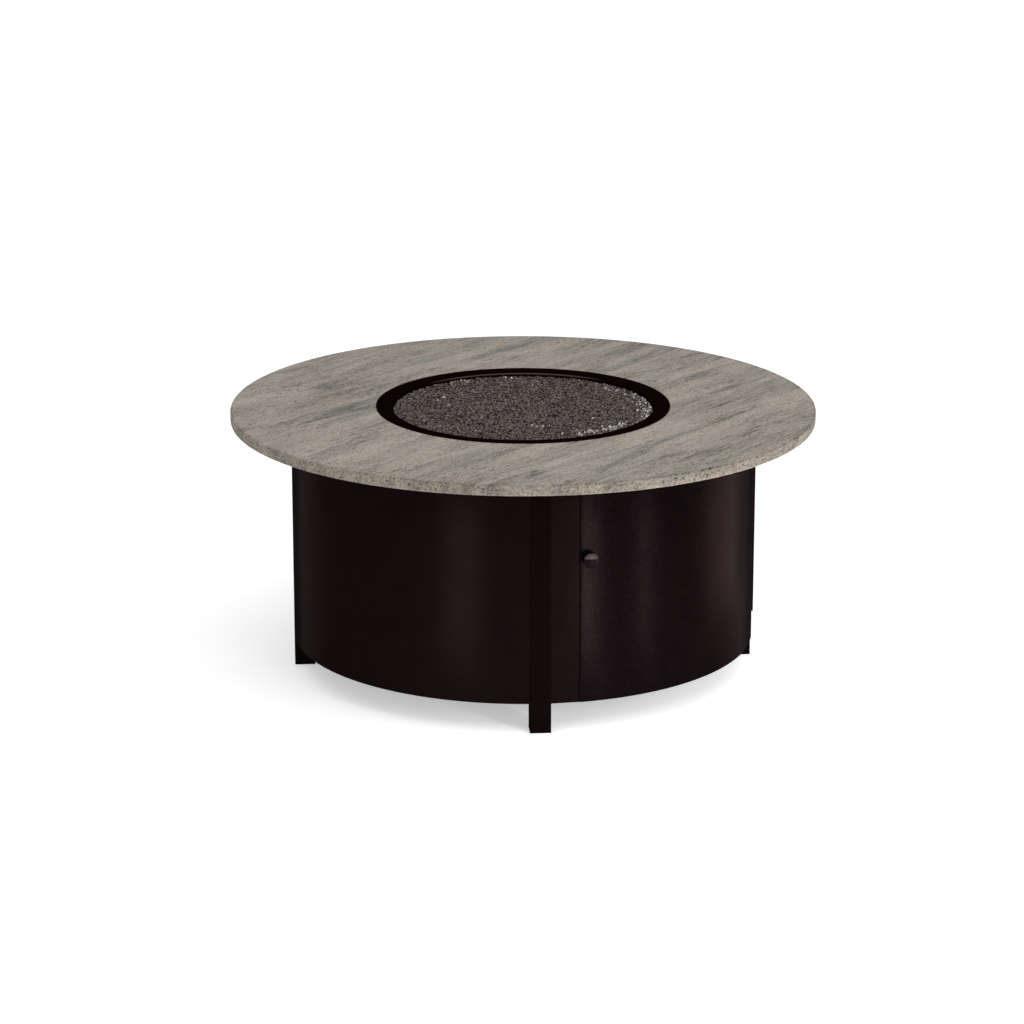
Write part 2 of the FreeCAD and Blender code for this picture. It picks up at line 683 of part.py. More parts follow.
def make_posts():
    """Four square tube posts, their foot plugs and their top plates."""
    feet, plates = [], []
    height = frame_top - d.plate_height - d.foot_height
    for index, name in enumerate(POSTS):
        turn = QUARTER * index
        body = new_body(f"post_{name}_body")
        section = new_sketch(body, f"post_{name}_section", lift=d.foot_height)
        for half in (post_half, post_half - d.post_wall):
            corners = [(-1, -1), (1, -1), (1, 1), (-1, 1)]
            add_loop(section, [(half * x, half * y - post_middle) for x, y in corners])
        pad(body, section, height)
        outer = [(post_half * x, post_half * y - post_middle) for x in (-1, 1) for y in (-1, 1)]
        round_edges(body, d.post_corner, upright_at(outer), f"post_{name}_round")
        inner_half = post_half - d.post_wall
        inner = [(inner_half * x, inner_half * y - post_middle) for x in (-1, 1) for y in (-1, 1)]
        round_edges(body, d.post_corner - d.post_wall, upright_at(inner), f"post_{name}_inside")
        keep(place(body, turn=turn), f"post_{name}")
        plug_half = inner_half - d.fit_gap
        square = (d.post_size, d.post_size)
        sole = box(f"foot_sole_{name}", (-post_half, -post_reach, ZERO), (*square, d.foot_height))
        corner = (-plug_half, -post_middle - plug_half, d.foot_height)
        plug = box(f"foot_plug_{name}", corner, (plug_half * 2, plug_half * 2, d.foot_plug))
        feet.append(place(fuse(f"foot_{name}", sole, plug), turn=turn))
        corner = (-post_half, -post_reach, frame_top - d.plate_height)
        plates.append(box(f"plate_{name}", corner, (*square, d.plate_height), turn))
    keep(group("post_feet_group", *feet), "post_feet")
    keep(group("post_top_plates_group", *plates), "post_top_plates")


QUADRANTS = ("door", "right", "back", "left")


def quadrant_band(sketch, outer, inner):
    """A band of a quarter turn between the side faces of two posts."""
    far, near = side_of(outer, post_half), side_of(inner, post_half)
    add_loop(sketch, [
        (post_half, -far), (far, -post_half, outer, 1), (near, -post_half), (post_half, -near, inner, -1),
    ])


def panel_screw_spots():
    """Where the control panel's screws enter the middle of the rail above it."""
    reach = door_rail_outer - d.rail_size / 2
    sides = [-d.panel_screw_side, d.panel_screw_side]
    return [polar(side_of(reach, side), d.panel_angle, side) for side in sides]


def make_rails():
    """Rolled square tube between the posts, four at the foot and four at the top."""
    for level, height in (("bottom", lower_rail), ("top", upper_rail)):
        for index, name in enumerate(QUADRANTS):
            outer = door_rail_outer if name == "door" else rail_outer
            inner = outer - d.rail_size
            label = f"{level}_rail_{name}"
            body = new_body(f"{label}_body")
            whole = new_sketch(body, f"{label}_band", lift=height)
            quadrant_band(whole, outer, inner)
            pad(body, whole, d.rail_size)
            hollow = new_sketch(body, f"{label}_hollow", lift=height + d.rail_wall)
            quadrant_band(hollow, outer - d.rail_wall, inner + d.rail_wall)
            pocket(body, hollow, d.rail_size - d.rail_wall * 2, up=True)
            spots = []
            if level == "bottom":
                spots = [polar(outer - d.rail_size / 2, as_size(angle)) for angle in SCREW_ANGLES]
            elif name == "door":
                spots = panel_screw_spots()
            if spots:
                holes = new_sketch(body, f"{label}_holes", lift=height)
                for spot in spots:
                    add_circle(holes, *spot, d.screw_diameter / 2 + d.thread_gap)
                pocket(body, holes, d.rail_wall, up=True)
            keep(place(body, turn=QUARTER * index), label)


def make_top_supports():
    """The ring under the top's hole, the arms that carry it, the pads and the bolts."""
    body = new_body("hole_ring_body")
    band = new_sketch(body, "hole_ring_band", lift=ring_under)
    add_circle(band, ZERO, ZERO, ring_inner + d.ring_width)
    add_circle(band, ZERO, ZERO, ring_inner)
    pad(body, band, d.ring_height)
    hole = new_sketch(body, "hole_ring_hole", lift=frame_top)
    add_circle(hole, *polar(ring_middle, as_size(QUARTER / 2)), d.bolt_diameter / 2 + d.hole_gap)
    around(body, pocket(body, hole, d.ring_height), "hole_ring_holes", 4)
    keep(body, "hole_ring")

    near = ring_inner + d.arm_inset
    length = post_reach - d.post_size - near
    axis = ring_under - d.arm_size / 2
    for index, name in enumerate(POSTS):
        sides = []
        for half in (d.arm_size / 2, d.arm_size / 2 - d.rail_wall):
            corner = (-half, -near - length, axis - half)
            sides.append(box(f"arm_side_{name}", corner, (half * 2, length, half * 2)))
        keep(place(cut(f"arm_{name}_cut", *sides), turn=QUARTER * index), f"arm_{name}")

    pads = []
    for index in range(RING_PADS):
        x, y = polar(ring_middle, as_size(360.0 / RING_PADS * (index + 0.5)))
        pads.append(rod(f"ring_pad{index}", d.ring_pad_diameter / 2, d.pad_height, x, y, frame_top))
    for index in range(4):
        x, y = polar(post_middle, as_size(QUARTER * index))
        pads.append(rod(f"post_pad{index}", d.post_pad_diameter / 2, d.pad_height, x, y, frame_top))
    bolts = []
    length = d.ring_height + d.pad_height + d.bolt_depth
    for index in range(4):
        x, y = polar(ring_middle, as_size(QUARTER * (index + 0.5)))
        head = rod(f"bolt_head{index}", d.bolt_head / 2, d.bolt_head_height, x, y, ring_under, "down")
        shank = rod(f"bolt_shank{index}", d.bolt_diameter / 2, length, x, y, ring_under)
        bolts.append(fuse(f"bolt{index}", head, shank))
    keep(group("top_pads_group", *pads), "top_pads")
    keep(group("top_bolts_group", *bolts), "top_bolts")


def make_skins():
    """The three fixed skins: plain rolled sheets between the posts."""
    height = skin_top - d.skin_clearance
    for index, name in enumerate(QUADRANTS):
        if name == "door":
            continue
        body = new_body(f"skin_{name}_body")
        band = new_sketch(body, f"skin_{name}_band", lift=d.skin_clearance)
        quadrant_band(band, d.skin_radius, d.skin_radius - d.skin_sheet)
        pad(body, band, height)
        keep(place(body, turn=QUARTER * index), f"skin_{name}")


def make_strip(name, post_angle, jamb_angle, jamb_gap, turn):
    """A flat fixed strip from a post to the door, with both edges turned in.

    turn is 1 where the door lies further round the table than the post, and -1 where the
    post does.
    """
    body = new_body(f"{name}_body")
    plan = new_sketch(body, f"{name}_plan", lift=d.skin_clearance)
    t = d.skin_sheet
    post_out = side_of(d.skin_radius, post_half)
    jamb_out = side_of(d.skin_radius, jamb_gap)
    deep_post, deep_jamb = post_out - d.strip_return, jamb_out - d.strip_return
    near_post, past_post = post_half * turn, (post_half + t) * turn
    near_door, before_door = -jamb_gap * turn, -(jamb_gap + t) * turn
    post = [
        polar(post_out, post_angle, near_post), polar(deep_post, post_angle, near_post),
        polar(deep_post, post_angle, past_post), polar(post_out - t, post_angle, past_post),
    ]
    jamb = [
        polar(jamb_out - t, jamb_angle, before_door), polar(deep_jamb, jamb_angle, before_door),
        polar(deep_jamb, jamb_angle, near_door), polar(jamb_out, jamb_angle, near_door),
    ]
    add_loop(plan, post + jamb)
    pad(body, plan, skin_top - d.skin_clearance)
    round_edges(body, d.bend_radius, upright_at([jamb[3]]), f"{name}_bend")
    round_edges(body, d.bend_radius - t, upright_at([jamb[0]]), f"{name}_inner_bend")
    keep(body, name)


def door_band(sketch, outer, inner):
    """A band of the door between the insides of its two turned-in edges."""
    t = d.skin_sheet
    far = hinge_side + t
    add_loop(sketch, [
        polar(side_of(outer, t), d.door_edge, t),
        polar(side_of(outer, far), hinge_angle, -far) + (outer, 1),
        polar(side_of(inner, far), hinge_angle, -far),
        polar(side_of(inner, t), d.door_edge, t) + (inner, -1),
    ])


def make_door():
    """The door: a rolled sheet with turned-in edges, stiffened by three ribs."""
    body = new_body("door_skin_body")
    plan = new_sketch(body, "door_skin_plan", lift=d.skin_clearance)
    t = d.skin_sheet
    deep = door_radius - d.door_return
    near, far = hinge_side, hinge_side + t
    outer_left = polar(door_radius, d.door_edge)
    outer_right = polar(side_of(door_radius, near), hinge_angle, -near)
    inner_right = polar(side_of(door_inner, far), hinge_angle, -far)
    inner_left = polar(side_of(door_inner, t), d.door_edge, t)
    add_loop(plan, [
        outer_left, outer_right + (door_radius, 1),
        polar(deep, hinge_angle, -near), polar(deep, hinge_angle, -far),
        inner_right, inner_left + (door_inner, -1),
        polar(deep, d.door_edge, t), polar(deep, d.door_edge),
    ])
    pad(body, plan, skin_top - d.skin_clearance)
    round_edges(body, d.bend_radius, upright_at([outer_left, outer_right]), "door_bend")
    round_edges(body, d.bend_radius - t, upright_at([inner_left, inner_right]), "door_inner_bend")
    bore = d.knob_screw_diameter / 2 + d.hole_gap
    y = -door_radius - t
    hole = rod("door_knob_hole", bore, t * 3, y=y, z=d.knob_height, to="in", turn=d.knob_angle)
    keep(cut("door_skin_cut", body, hole), "door_skin")

    levels = {
        "bottom": d.skin_clearance + d.rib_inset, "middle": d.rib_middle,
        "top": skin_top - d.rib_inset - d.rib_height,
    }
    for name, low in levels.items():
        rib = new_body(f"door_rib_{name}_body")
        band = new_sketch(rib, f"door_rib_{name}_band", lift=low)
        outer = door_inner - d.fit_gap
        door_band(band, outer, outer - d.rib_depth)
        pad(rib, band, d.rib_height)
        corners = [
            polar(side_of(outer, t), d.door_edge, t), polar(side_of(outer, far), hinge_angle, -far),
        ]
        soften = d.bend_radius - t + d.fit_gap
        round_edges(rib, soften, upright_at(corners), f"door_rib_{name}_round")
        keep(rib, f"door_rib_{name}")


def hinge_leaf(name, side, first):
    """One leaf of the piano hinge: side is 1 on the frame and -1 on the door."""
    pitch = d.hinge_length / KNUCKLES
    edge = hinge_radius - d.barrel_radius - d.knuckle_clear
    tab_out = hinge_radius - d.barrel_radius / 2
    x = d.leaf_half_gap if side > 0 else -hinge_side
    pieces = [box(f"{name}_plate", (x, -edge, hinge_low), (d.leaf_sheet, d.leaf_width, d.hinge_length))]
    for index in range(first, KNUCKLES, 2):
        low = hinge_low + pitch * index + d.knuckle_gap / 2
        height = pitch - d.knuckle_gap
        tab = (d.leaf_sheet, tab_out - edge, height)
        pieces.append(box(f"{name}_tab{index}", (x, -tab_out, low), tab))
        pieces.append(rod(f"{name}_knuckle{index}", d.barrel_radius, height, y=-hinge_radius, z=low))
    running = d.hinge_pin_radius + d.pin_gap
    bore = rod(f"{name}_bore", running, d.hinge_length, y=-hinge_radius, z=hinge_low)
    leaf = cut(f"{name}_cut", fuse(f"{name}_metal", *pieces), bore)
    keep(place(leaf, turn=hinge_angle), name)


def make_hinge():
    hinge_leaf("hinge_frame_leaf", 1, 0)
    hinge_leaf("hinge_door_leaf", -1, 1)
    radius, y = d.hinge_pin_radius, -hinge_radius
    keep(rod("hinge_pin_rod", radius, d.hinge_length, y=y, z=hinge_low, turn=hinge_angle), "hinge_pin")


def make_door_fittings():
    """The domed door knob and its screw, and the magnetic catch with its strike."""
    body = new_body("door_knob_body")
    section = new_sketch(body, "door_knob_section", "XZ_Plane")
    radius, neck, reach = d.knob_diameter / 2, d.knob_neck / 2, d.knob_reach
    bore = d.knob_screw_diameter / 2 + d.thread_gap
    deep = d.knob_screw_depth + d.thread_gap
    crown = reach - d.knob_rim
    dome = (radius * radius + crown * crown) / (crown * 2)
    add_loop(section, [
        (bore, ZERO), (neck, ZERO), (neck, d.knob_flare), (radius, d.knob_rim), (ZERO, reach, dome, 1),
        (ZERO, deep), (bore, deep),
    ])
    revolve(body, section)
    round_edges(body, d.pan_soften, circle_at(radius, d.knob_rim), "door_knob_round")
    seat = -door_radius - d.knob_seat
    keep(place(body, y=seat, z=d.knob_height, turn=d.knob_angle, to="out"), "door_knob")

    back = door_inner - d.fit_gap
    head = rod("knob_screw_head", d.knob_screw_diameter, d.strike_sheet, y=-back + d.strike_sheet, to="out")
    length = d.fit_gap + d.skin_sheet + d.knob_seat + d.knob_screw_depth
    shank = rod("knob_screw_shank", d.knob_screw_diameter / 2, length, y=-back, to="out")
    keep(place(fuse("knob_screw_metal", head, shank), z=d.knob_height, turn=d.knob_angle), "knob_screw")

    face = side_of(door_inner, d.strike_width / 2) - d.fit_gap
    low = upper_rail + (d.rail_size - d.magnet_height) / 4
    corner = (-d.strike_width / 2, -face, low + (d.magnet_height - d.strike_height) / 2)
    size = (d.strike_width, d.strike_sheet, d.strike_height)
    keep(box("strike_plate_sheet", corner, size, d.magnet_angle), "strike_plate")
    front = face - d.strike_sheet - d.fit_gap
    seat = door_rail_outer + d.fit_gap
    size = (d.magnet_width, front - seat, d.magnet_height)
    keep(box("door_magnet_block", (-d.magnet_width / 2, -front, low), size, d.magnet_angle), "door_magnet")


def make_shelf():
    """The shelf under the rails, its vents and screws, and the ring for the tank's foot."""
    low = lower_rail - d.shelf_sheet
    body = new_body("shelf_body")
    disc = new_sketch(body, "shelf_disc", lift=low)
    add_circle(disc, ZERO, ZERO, shelf_radius)
    pad(body, disc, d.shelf_sheet)
    notch = new_sketch(body, "shelf_notch", lift=lower_rail)
    half = post_half + d.hole_gap
    near, far = post_reach - d.post_size - d.hole_gap, post_reach + d.post_size
    add_loop(notch, [(-half, -far), (half, -far), (half, -near), (-half, -near)])
    around(body, pocket(body, notch, d.shelf_sheet), "shelf_notches", 4)
    door_side = new_sketch(body, "shelf_door_side", lift=lower_rail)
    quadrant_band(door_side, post_reach, door_rail_outer)
    pocket(body, door_side, d.shelf_sheet)
    vent = new_sketch(body, "shelf_vent_hole", lift=lower_rail)
    x, y = polar(shelf_radius - d.shelf_vent_setback, as_size(360.0 / SHELF_VENTS / 2))
    add_circle(vent, x, y, d.shelf_vent / 2)
    around(body, pocket(body, vent, d.shelf_sheet), "shelf_vents", SHELF_VENTS)
    screws = []
    holes = new_sketch(body, "shelf_screw_holes", lift=lower_rail)
    for index, name in enumerate(QUADRANTS):
        outer = door_rail_outer if name == "door" else rail_outer
        for angle in SCREW_ANGLES:
            turn = QUARTER * index + angle
            x, y = polar(outer - d.rail_size / 2, as_size(turn))
            add_circle(holes, x, y, d.screw_diameter / 2 + d.hole_gap)
            screws.append(screw(f"shelf_screw{turn:.0f}", x, y, low))
    pocket(body, holes, d.shelf_sheet)
    keep(body, "shelf")
    keep(group("shelf_screws_group", *screws), "shelf_screws")
    inner, outer = d.tank_ring / 2, d.tank_ring / 2 + d.tank_ring_sheet
    spot = (d.tank_bay, -d.tank_bay, lower_rail)
    wall = rod("tank_ring_wall", outer, d.tank_ring_height, *spot)
    keep(cut("tank_ring_cut", wall, rod("tank_ring_space", inner, d.tank_ring_height, *spot)), "tank_ring")


def screw(name, x, y, z):
    """A screw driven upwards, its head just under this height."""
    head = rod(f"{name}_head", d.screw_head / 2, d.screw_head_height, x, y, z, to="down")
    shank = rod(f"{name}_shank", d.screw_diameter / 2, d.screw_length, x, y, z)
    return fuse(name, head, shank)


def make_control_panel():
    """The bracket that holds the valve and the igniter behind the door."""
    half, t = d.panel_width / 2, d.panel_sheet
    low = upper_rail - d.panel_drop
    plate = box("panel_plate", (-half, -panel_radius, low), (half * 2, t, d.panel_drop))
    corner = (-half, -panel_radius - d.panel_flange, upper_rail - t)
    flange = box("panel_top", corner, (half * 2, d.panel_flange + t, t))
    front, z = -panel_radius - t, control_height
    holes = [
        rod("panel_stem_hole", d.stem_hole / 2, t * 3, d.valve_offset, front, z, "in"),
        rod("panel_igniter_hole", d.igniter_radius + d.hole_gap, t * 3, d.igniter_offset, front, z, "in"),
    ]
    panel = place(cut("panel_with_ports", fuse("panel_metal", plate, flange), *holes), turn=d.panel_angle)
    screws, holes = [], []
    bore = d.screw_diameter / 2 + d.hole_gap
    for index, (x, y) in enumerate(panel_screw_spots()):
        holes.append(rod(f"panel_screw_hole{index}", bore, t, x, y, upper_rail - t))
        screws.append(screw(f"panel_screw{index}", x, y, upper_rail - t))
    keep(cut("control_panel_cut", panel, *holes), "control_panel")
    keep(group("panel_screws_group", *screws), "panel_screws")


def make_valve():
    """The gas valve behind the panel, its inlet, its stem and the knob on it."""
    half = d.valve_width / 2
    x, z = d.valve_offset, control_height
    low = z - d.valve_height / 2
    block = box("valve_block", (x - half, -panel_back, low), (half * 2, d.valve_depth, d.valve_height))
    middle = -panel_back + d.valve_depth / 2
    reach = d.valve_outlet_reach
    outlet = rod("valve_outlet_rod", d.valve_outlet / 2, reach, x - half - reach, middle, z, "right")
    running = d.stem_radius + d.pin_gap
    bore = rod("valve_stem_bore", running, d.stem_depth + d.stem_end_gap, x, -panel_back, z, "in")
    valve = cut("gas_valve_cut", fuse("valve_metal", block, outlet), bore)
    keep(place(valve, turn=d.panel_angle), "gas_valve")

    collar = hexagon("inlet_collar", d.inlet_hex, d.inlet_hex_height, x, middle, low - d.inlet_hex_height)
    under = low - d.inlet_hex_height
    thread = rod("inlet_thread", d.inlet_diameter / 2, d.inlet_length, x, middle, under, "down")
    length = d.inlet_length + d.inlet_hex_height
    passage = rod("inlet_bore_rod", d.inlet_bore / 2, length, x, middle, low, "down")
    inlet = cut("gas_inlet_cut", fuse("inlet_fitting", collar, thread), passage)
    keep(place(inlet, turn=d.panel_angle), "gas_inlet")

    inner = -panel_back + d.stem_depth
    stem_length = d.stem_depth + d.panel_sheet + d.stem_reach
    keep(rod("stem_rod", d.stem_radius, stem_length, x, inner, z, "out", d.panel_angle), "valve_stem")

    back = -panel_radius - d.dial_gap
    skirt = rod("dial_skirt", d.dial_diameter / 2, d.dial_depth, x, back, z, "out")
    corner = (x - d.grip_width / 2, back - d.dial_depth - d.grip_height, z - d.grip_length / 2)
    bar = box("dial_grip", corner, (d.grip_width, d.grip_height, d.grip_length))
    hole = rod("dial_bore", running, d.stem_reach - d.dial_gap, x, back, z, "out")
    dial = cut("valve_knob_cut", fuse("dial_plastic", skirt, bar), hole)
    keep(place(dial, turn=d.panel_angle), "valve_knob")


def make_igniter():
    """The push-button igniter in the panel, its nut and its button."""
    x, z = d.igniter_offset, control_height
    front = -panel_radius - d.igniter_flange_height
    length = d.igniter_flange_height + d.panel_sheet + d.igniter_depth
    barrel = rod("igniter_barrel", d.igniter_radius, length, x, front, z, "in")
    flange = rod("igniter_flange_disc", d.igniter_flange, d.igniter_flange_height, x, front, z, "in")
    deep = d.button_depth + d.button_travel + d.stem_end_gap
    well = rod("igniter_well", d.button_radius + d.pin_gap, deep, x, front, z, "in")
    shell = cut("igniter_body_cut", fuse("igniter_shell", barrel, flange), well)
    keep(place(shell, turn=d.panel_angle), "igniter_body")
    height = d.igniter_nut_height
    nut = rod("igniter_nut_disc", d.igniter_flange, height, x, -panel_back, z, "in")
    bore = rod("igniter_nut_bore", d.igniter_radius + d.thread_gap, height, x, -panel_back, z, "in")
    keep(place(cut("igniter_nut_cut", nut, bore), turn=d.panel_angle), "igniter_nut")
    length = d.button_reach + d.button_depth
    start = front - d.button_reach
    keep(rod("button_rod", d.button_radius, length, x, start, z, "in", d.panel_angle), "igniter_button")


def make_electrode():
    """The ceramic electrode beside the hub, with its terminal under the pan."""
    low = pan_under - d.electrode_drop
    spot = -d.electrode_offset
    ceramic = rod("electrode_rod", d.electrode_radius, d.electrode_drop + d.electrode_rise, spot, spot, low)
    boot = rod("electrode_boot", d.boot_radius, d.boot_reach, spot, spot, low + d.boot_lift, "out")
    keep(fuse("igniter_electrode_fuse", ceramic, boot), "igniter_electrode")


def route(points):
    """Straight runs joined by tangent arcs, each as large as its two runs allow."""
    edges, radii = [], []
    here = points[0]
    for before, corner, after in zip(points, points[1:], points[2:]):
        inward, onward = corner - before, after - corner
        turn = inward.getAngle(onward)
        back = 0.45 * min(inward.Length, onward.Length)
        radii.append(back / math.tan(turn / 2))
        start = corner - inward.normalize() * back
        end = corner + onward.normalize() * back
        bisector = (onward - inward).normalize()
        middle = corner + bisector * (radii[-1] / math.cos(turn / 2) - radii[-1])
        edges += [Part.LineSegment(here, start).toShape(), Part.Arc(start, middle, end).toShape()]
        here = end
    edges.append(Part.LineSegment(here, points[-1]).toShape())
    return Part.Wire(edges), radii


def make_tube(name, points, diameter):
    """A hose or lead along these points, checked against its section times its length."""
    path, radii = route(points)
    section = Part.Wire(Part.Circle(points[0], points[1] - points[0], diameter / 2).toShape())
    solid = path.makePipeShell([section], True, False)
    expected = math.pi * diameter ** 2 / 4 * path.Length
    if abs(solid.Volume / expected - 1) > 0.01:
        raise RuntimeError(f"{name} is not a whole tube")
    print(f"{name}: length {path.Length:.0f} mm, radii " + ", ".join(f"{radius:.0f}" for radius in radii))
    tube = doc.addObject("Part::Feature", name + "_tube")
    tube.Shape = solid
    keep(tube, name)


def at(x, y, z):
    """The point that these sizes give now."""
    return Vector(x.value, y.value, z.value)


def bend(spot, height):
    """A bend of the hose or the lead, measured from this height."""
    share, angle, rise = spot
    return at(*polar(panel_radius * share, as_size(angle)), height + rise)


def make_hose_and_lead():
    """The hose from the valve to the burner, and the igniter's lead."""
    side = d.valve_offset - d.valve_width / 2 - d.valve_outlet_reach
    radius = panel_back - d.valve_depth / 2
    hose = [at(*polar(radius, d.panel_angle, each), control_height) for each in (side, side - d.hose_start)]
    hose += [bend(HOSE_FIRST, control_height), bend(HOSE_SECOND, elbow_height)]
    ends = ((-d.hose_side, -d.hose_turn), (-d.hose_side, ZERO), (-d.elbow_reach, ZERO))
    hose += [at(x, y, elbow_height) for x, y in ends]
    make_tube("gas_hose", hose, d.hose_diameter.value)

    rear = panel_back - d.igniter_depth
    terminal = pan_under - d.electrode_drop + d.boot_lift
    starts = (rear, rear - d.lead_start)
    lead = [at(*polar(each, d.panel_angle, d.igniter_offset), control_height) for each in starts]
    lead += [bend(spot, terminal) for spot in LEAD_BENDS]
    mouth = -d.electrode_offset - d.boot_reach
    lead += [at(-d.electrode_offset, y, terminal) for y in (mouth - d.lead_end, mouth)]
    make_tube("igniter_lead", lead, d.lead_diameter.value)


def main():
    make_stone_top()
    make_burner_pan()
    make_fire_glass()
    make_burner_ring()
    make_burner_inlet()
    make_posts()
    make_rails()
    make_top_supports()
    make_skins()
    make_strip("strip_latch_side", ZERO, d.door_edge, d.door_gap, 1)
    make_strip("strip_hinge_side", as_size(QUARTER), hinge_angle, hinge_side, -1)
    make_door()
    make_hinge()
    make_door_fittings()
    make_shelf()
    make_control_panel()
    make_valve()
    make_igniter()
    make_electrode()
    make_hose_and_lead()
    doc.recompute()
    for thing in doc.Objects:
        if "Invalid" in thing.State or "Error" in thing.State:
            raise RuntimeError(f"{thing.Name} failed: {thing.State}")
    os.makedirs("parts", exist_ok=True)
    for node in nodes:
        shape = node.Shape
        if shape.isNull() or not shape.isValid() or not shape.Solids:
            raise RuntimeError(f"{node.Label} has no valid solid")
        shape.exportStep(f"parts/{node.Label}.step")
    print(len(nodes), "pieces")


main()
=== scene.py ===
import json
import logging
import math
import random
from dataclasses import dataclass, field
from enum import Enum

import bmesh
import bpy
from mathutils import Matrix, Vector, noise


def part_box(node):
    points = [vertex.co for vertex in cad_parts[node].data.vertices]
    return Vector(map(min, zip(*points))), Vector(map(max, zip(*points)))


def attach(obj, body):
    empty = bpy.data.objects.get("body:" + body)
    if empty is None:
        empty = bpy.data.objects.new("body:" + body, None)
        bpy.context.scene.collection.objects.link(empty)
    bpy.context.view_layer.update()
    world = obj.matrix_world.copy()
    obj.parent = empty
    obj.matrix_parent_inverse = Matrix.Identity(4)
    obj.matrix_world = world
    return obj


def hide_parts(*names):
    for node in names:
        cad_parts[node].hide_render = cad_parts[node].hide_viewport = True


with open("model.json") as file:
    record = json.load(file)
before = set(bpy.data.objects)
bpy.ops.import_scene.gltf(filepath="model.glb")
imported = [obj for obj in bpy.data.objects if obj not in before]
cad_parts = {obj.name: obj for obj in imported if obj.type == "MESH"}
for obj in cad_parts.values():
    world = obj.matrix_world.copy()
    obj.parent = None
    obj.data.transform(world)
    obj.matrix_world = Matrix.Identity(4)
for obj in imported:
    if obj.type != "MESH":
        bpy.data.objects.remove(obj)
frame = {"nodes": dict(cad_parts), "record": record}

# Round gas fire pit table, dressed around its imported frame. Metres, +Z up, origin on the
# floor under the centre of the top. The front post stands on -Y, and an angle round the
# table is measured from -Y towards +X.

LOG = logging.getLogger("fire_pit_table")
MM = 0.001
WELD = 0.01 * MM
SHARP_ANGLE = math.radians(40)
NODES: dict[str, bpy.types.Object] = frame["nodes"]

# A colour mix's sockets: the second colour's share, the first and the second colour, the result.
SHARE, FIRST, SECOND, RESULT = 0, 6, 7, 2


class Body(Enum):
    """The bodies that the pieces modelled here ride on."""

    TABLE = "root"
    DOOR = "door"


class Slot(Enum):
    """The record's material slots."""

    STONE = "stone_composite"
    BRONZE = "bronze_powder_coat"
    GLASS = "fire_glass"
    STAINLESS = "stainless_steel"
    ZINC = "zinc_steel"
    BRASS = "brass_fitting"
    PLASTIC = "black_plastic"
    RUBBER = "black_rubber"
    CERAMIC = "ceramic"


def linear(colour: str, alpha: float = 1.0) -> tuple[float, float, float, float]:
    """Turns an sRGB hex colour into linear light.

    Args:
        colour: Six hex digits after a hash sign.
        alpha: Opacity to put beside it.

    Returns:
        Red, green, blue and alpha.
    """
    channels = [int(colour[index:index + 2], 16) / 255 for index in (1, 3, 5)]
    light = [c / 12.92 if c <= 0.04045 else ((c + 0.055) / 1.055) ** 2.4 for c in channels]
    return light[0], light[1], light[2], alpha


def add_node(tree: bpy.types.NodeTree, kind: str, inputs: dict | None = None, stops: tuple = (),
             **settings: object) -> bpy.types.Node:
    """Adds a shader node with its settings and links.

    Args:
        tree: The tree that takes the node.
        kind: The node's type name without its ShaderNode prefix.
        inputs: Input name or number to a plain value, or to the output that feeds it.
        stops: Position and hex colour of each stop, where the node has a colour ramp.
        settings: Properties of the node.

    Returns:
        The new node.
    """
    made = tree.nodes.new("ShaderNode" + kind)
    for name, value in settings.items():
        setattr(made, name, value)
    for key, value in (inputs or {}).items():
        if isinstance(value, bpy.types.NodeSocket):
            tree.links.new(value, made.inputs[key])
        else:
            made.inputs[key].default_value = value
    for index, (position, colour) in enumerate(stops):
        ramp = made.color_ramp.elements
        stop = ramp[index] if index < min(len(ramp), 2) else ramp.new(position)
        stop.position = position
        stop.color = linear(colour)
    return made


def new_material(name: str) -> tuple[bpy.types.Material, bpy.types.NodeTree, bpy.types.NodeSocket]:
    """Starts a node material.

    Args:
        name: The material's name.

    Returns:
        The material, its empty tree and the object coordinates inside it.
    """
    material = bpy.data.materials.new(name)
    material.use_nodes = True
    tree = material.node_tree
    tree.nodes.clear()
    return material, tree, add_node(tree, "TexCoord").outputs["Object"]


def close_material(tree: bpy.types.NodeTree, surface: dict) -> None:
    """Ends a material in one principled shader.

    Args:
        tree: The material's tree.
        surface: The shader's inputs.
    """
    shader = add_node(tree, "BsdfPrincipled", surface)
    add_node(tree, "OutputMaterial", {"Surface": shader.outputs[0]})


def per(length_mm: float) -> float:
    """The texture scale that makes one cycle this long, in millimetres."""
    return 1000.0 / length_mm


@dataclass(frozen=True)
class StoneLayer:
    """One layer of the stone's pattern: its cells' size, its octaves and how far it is bent."""

    long_mm: float
    wide_mm: float
    octaves: float
    roughness: float
    bend: float = 0.0


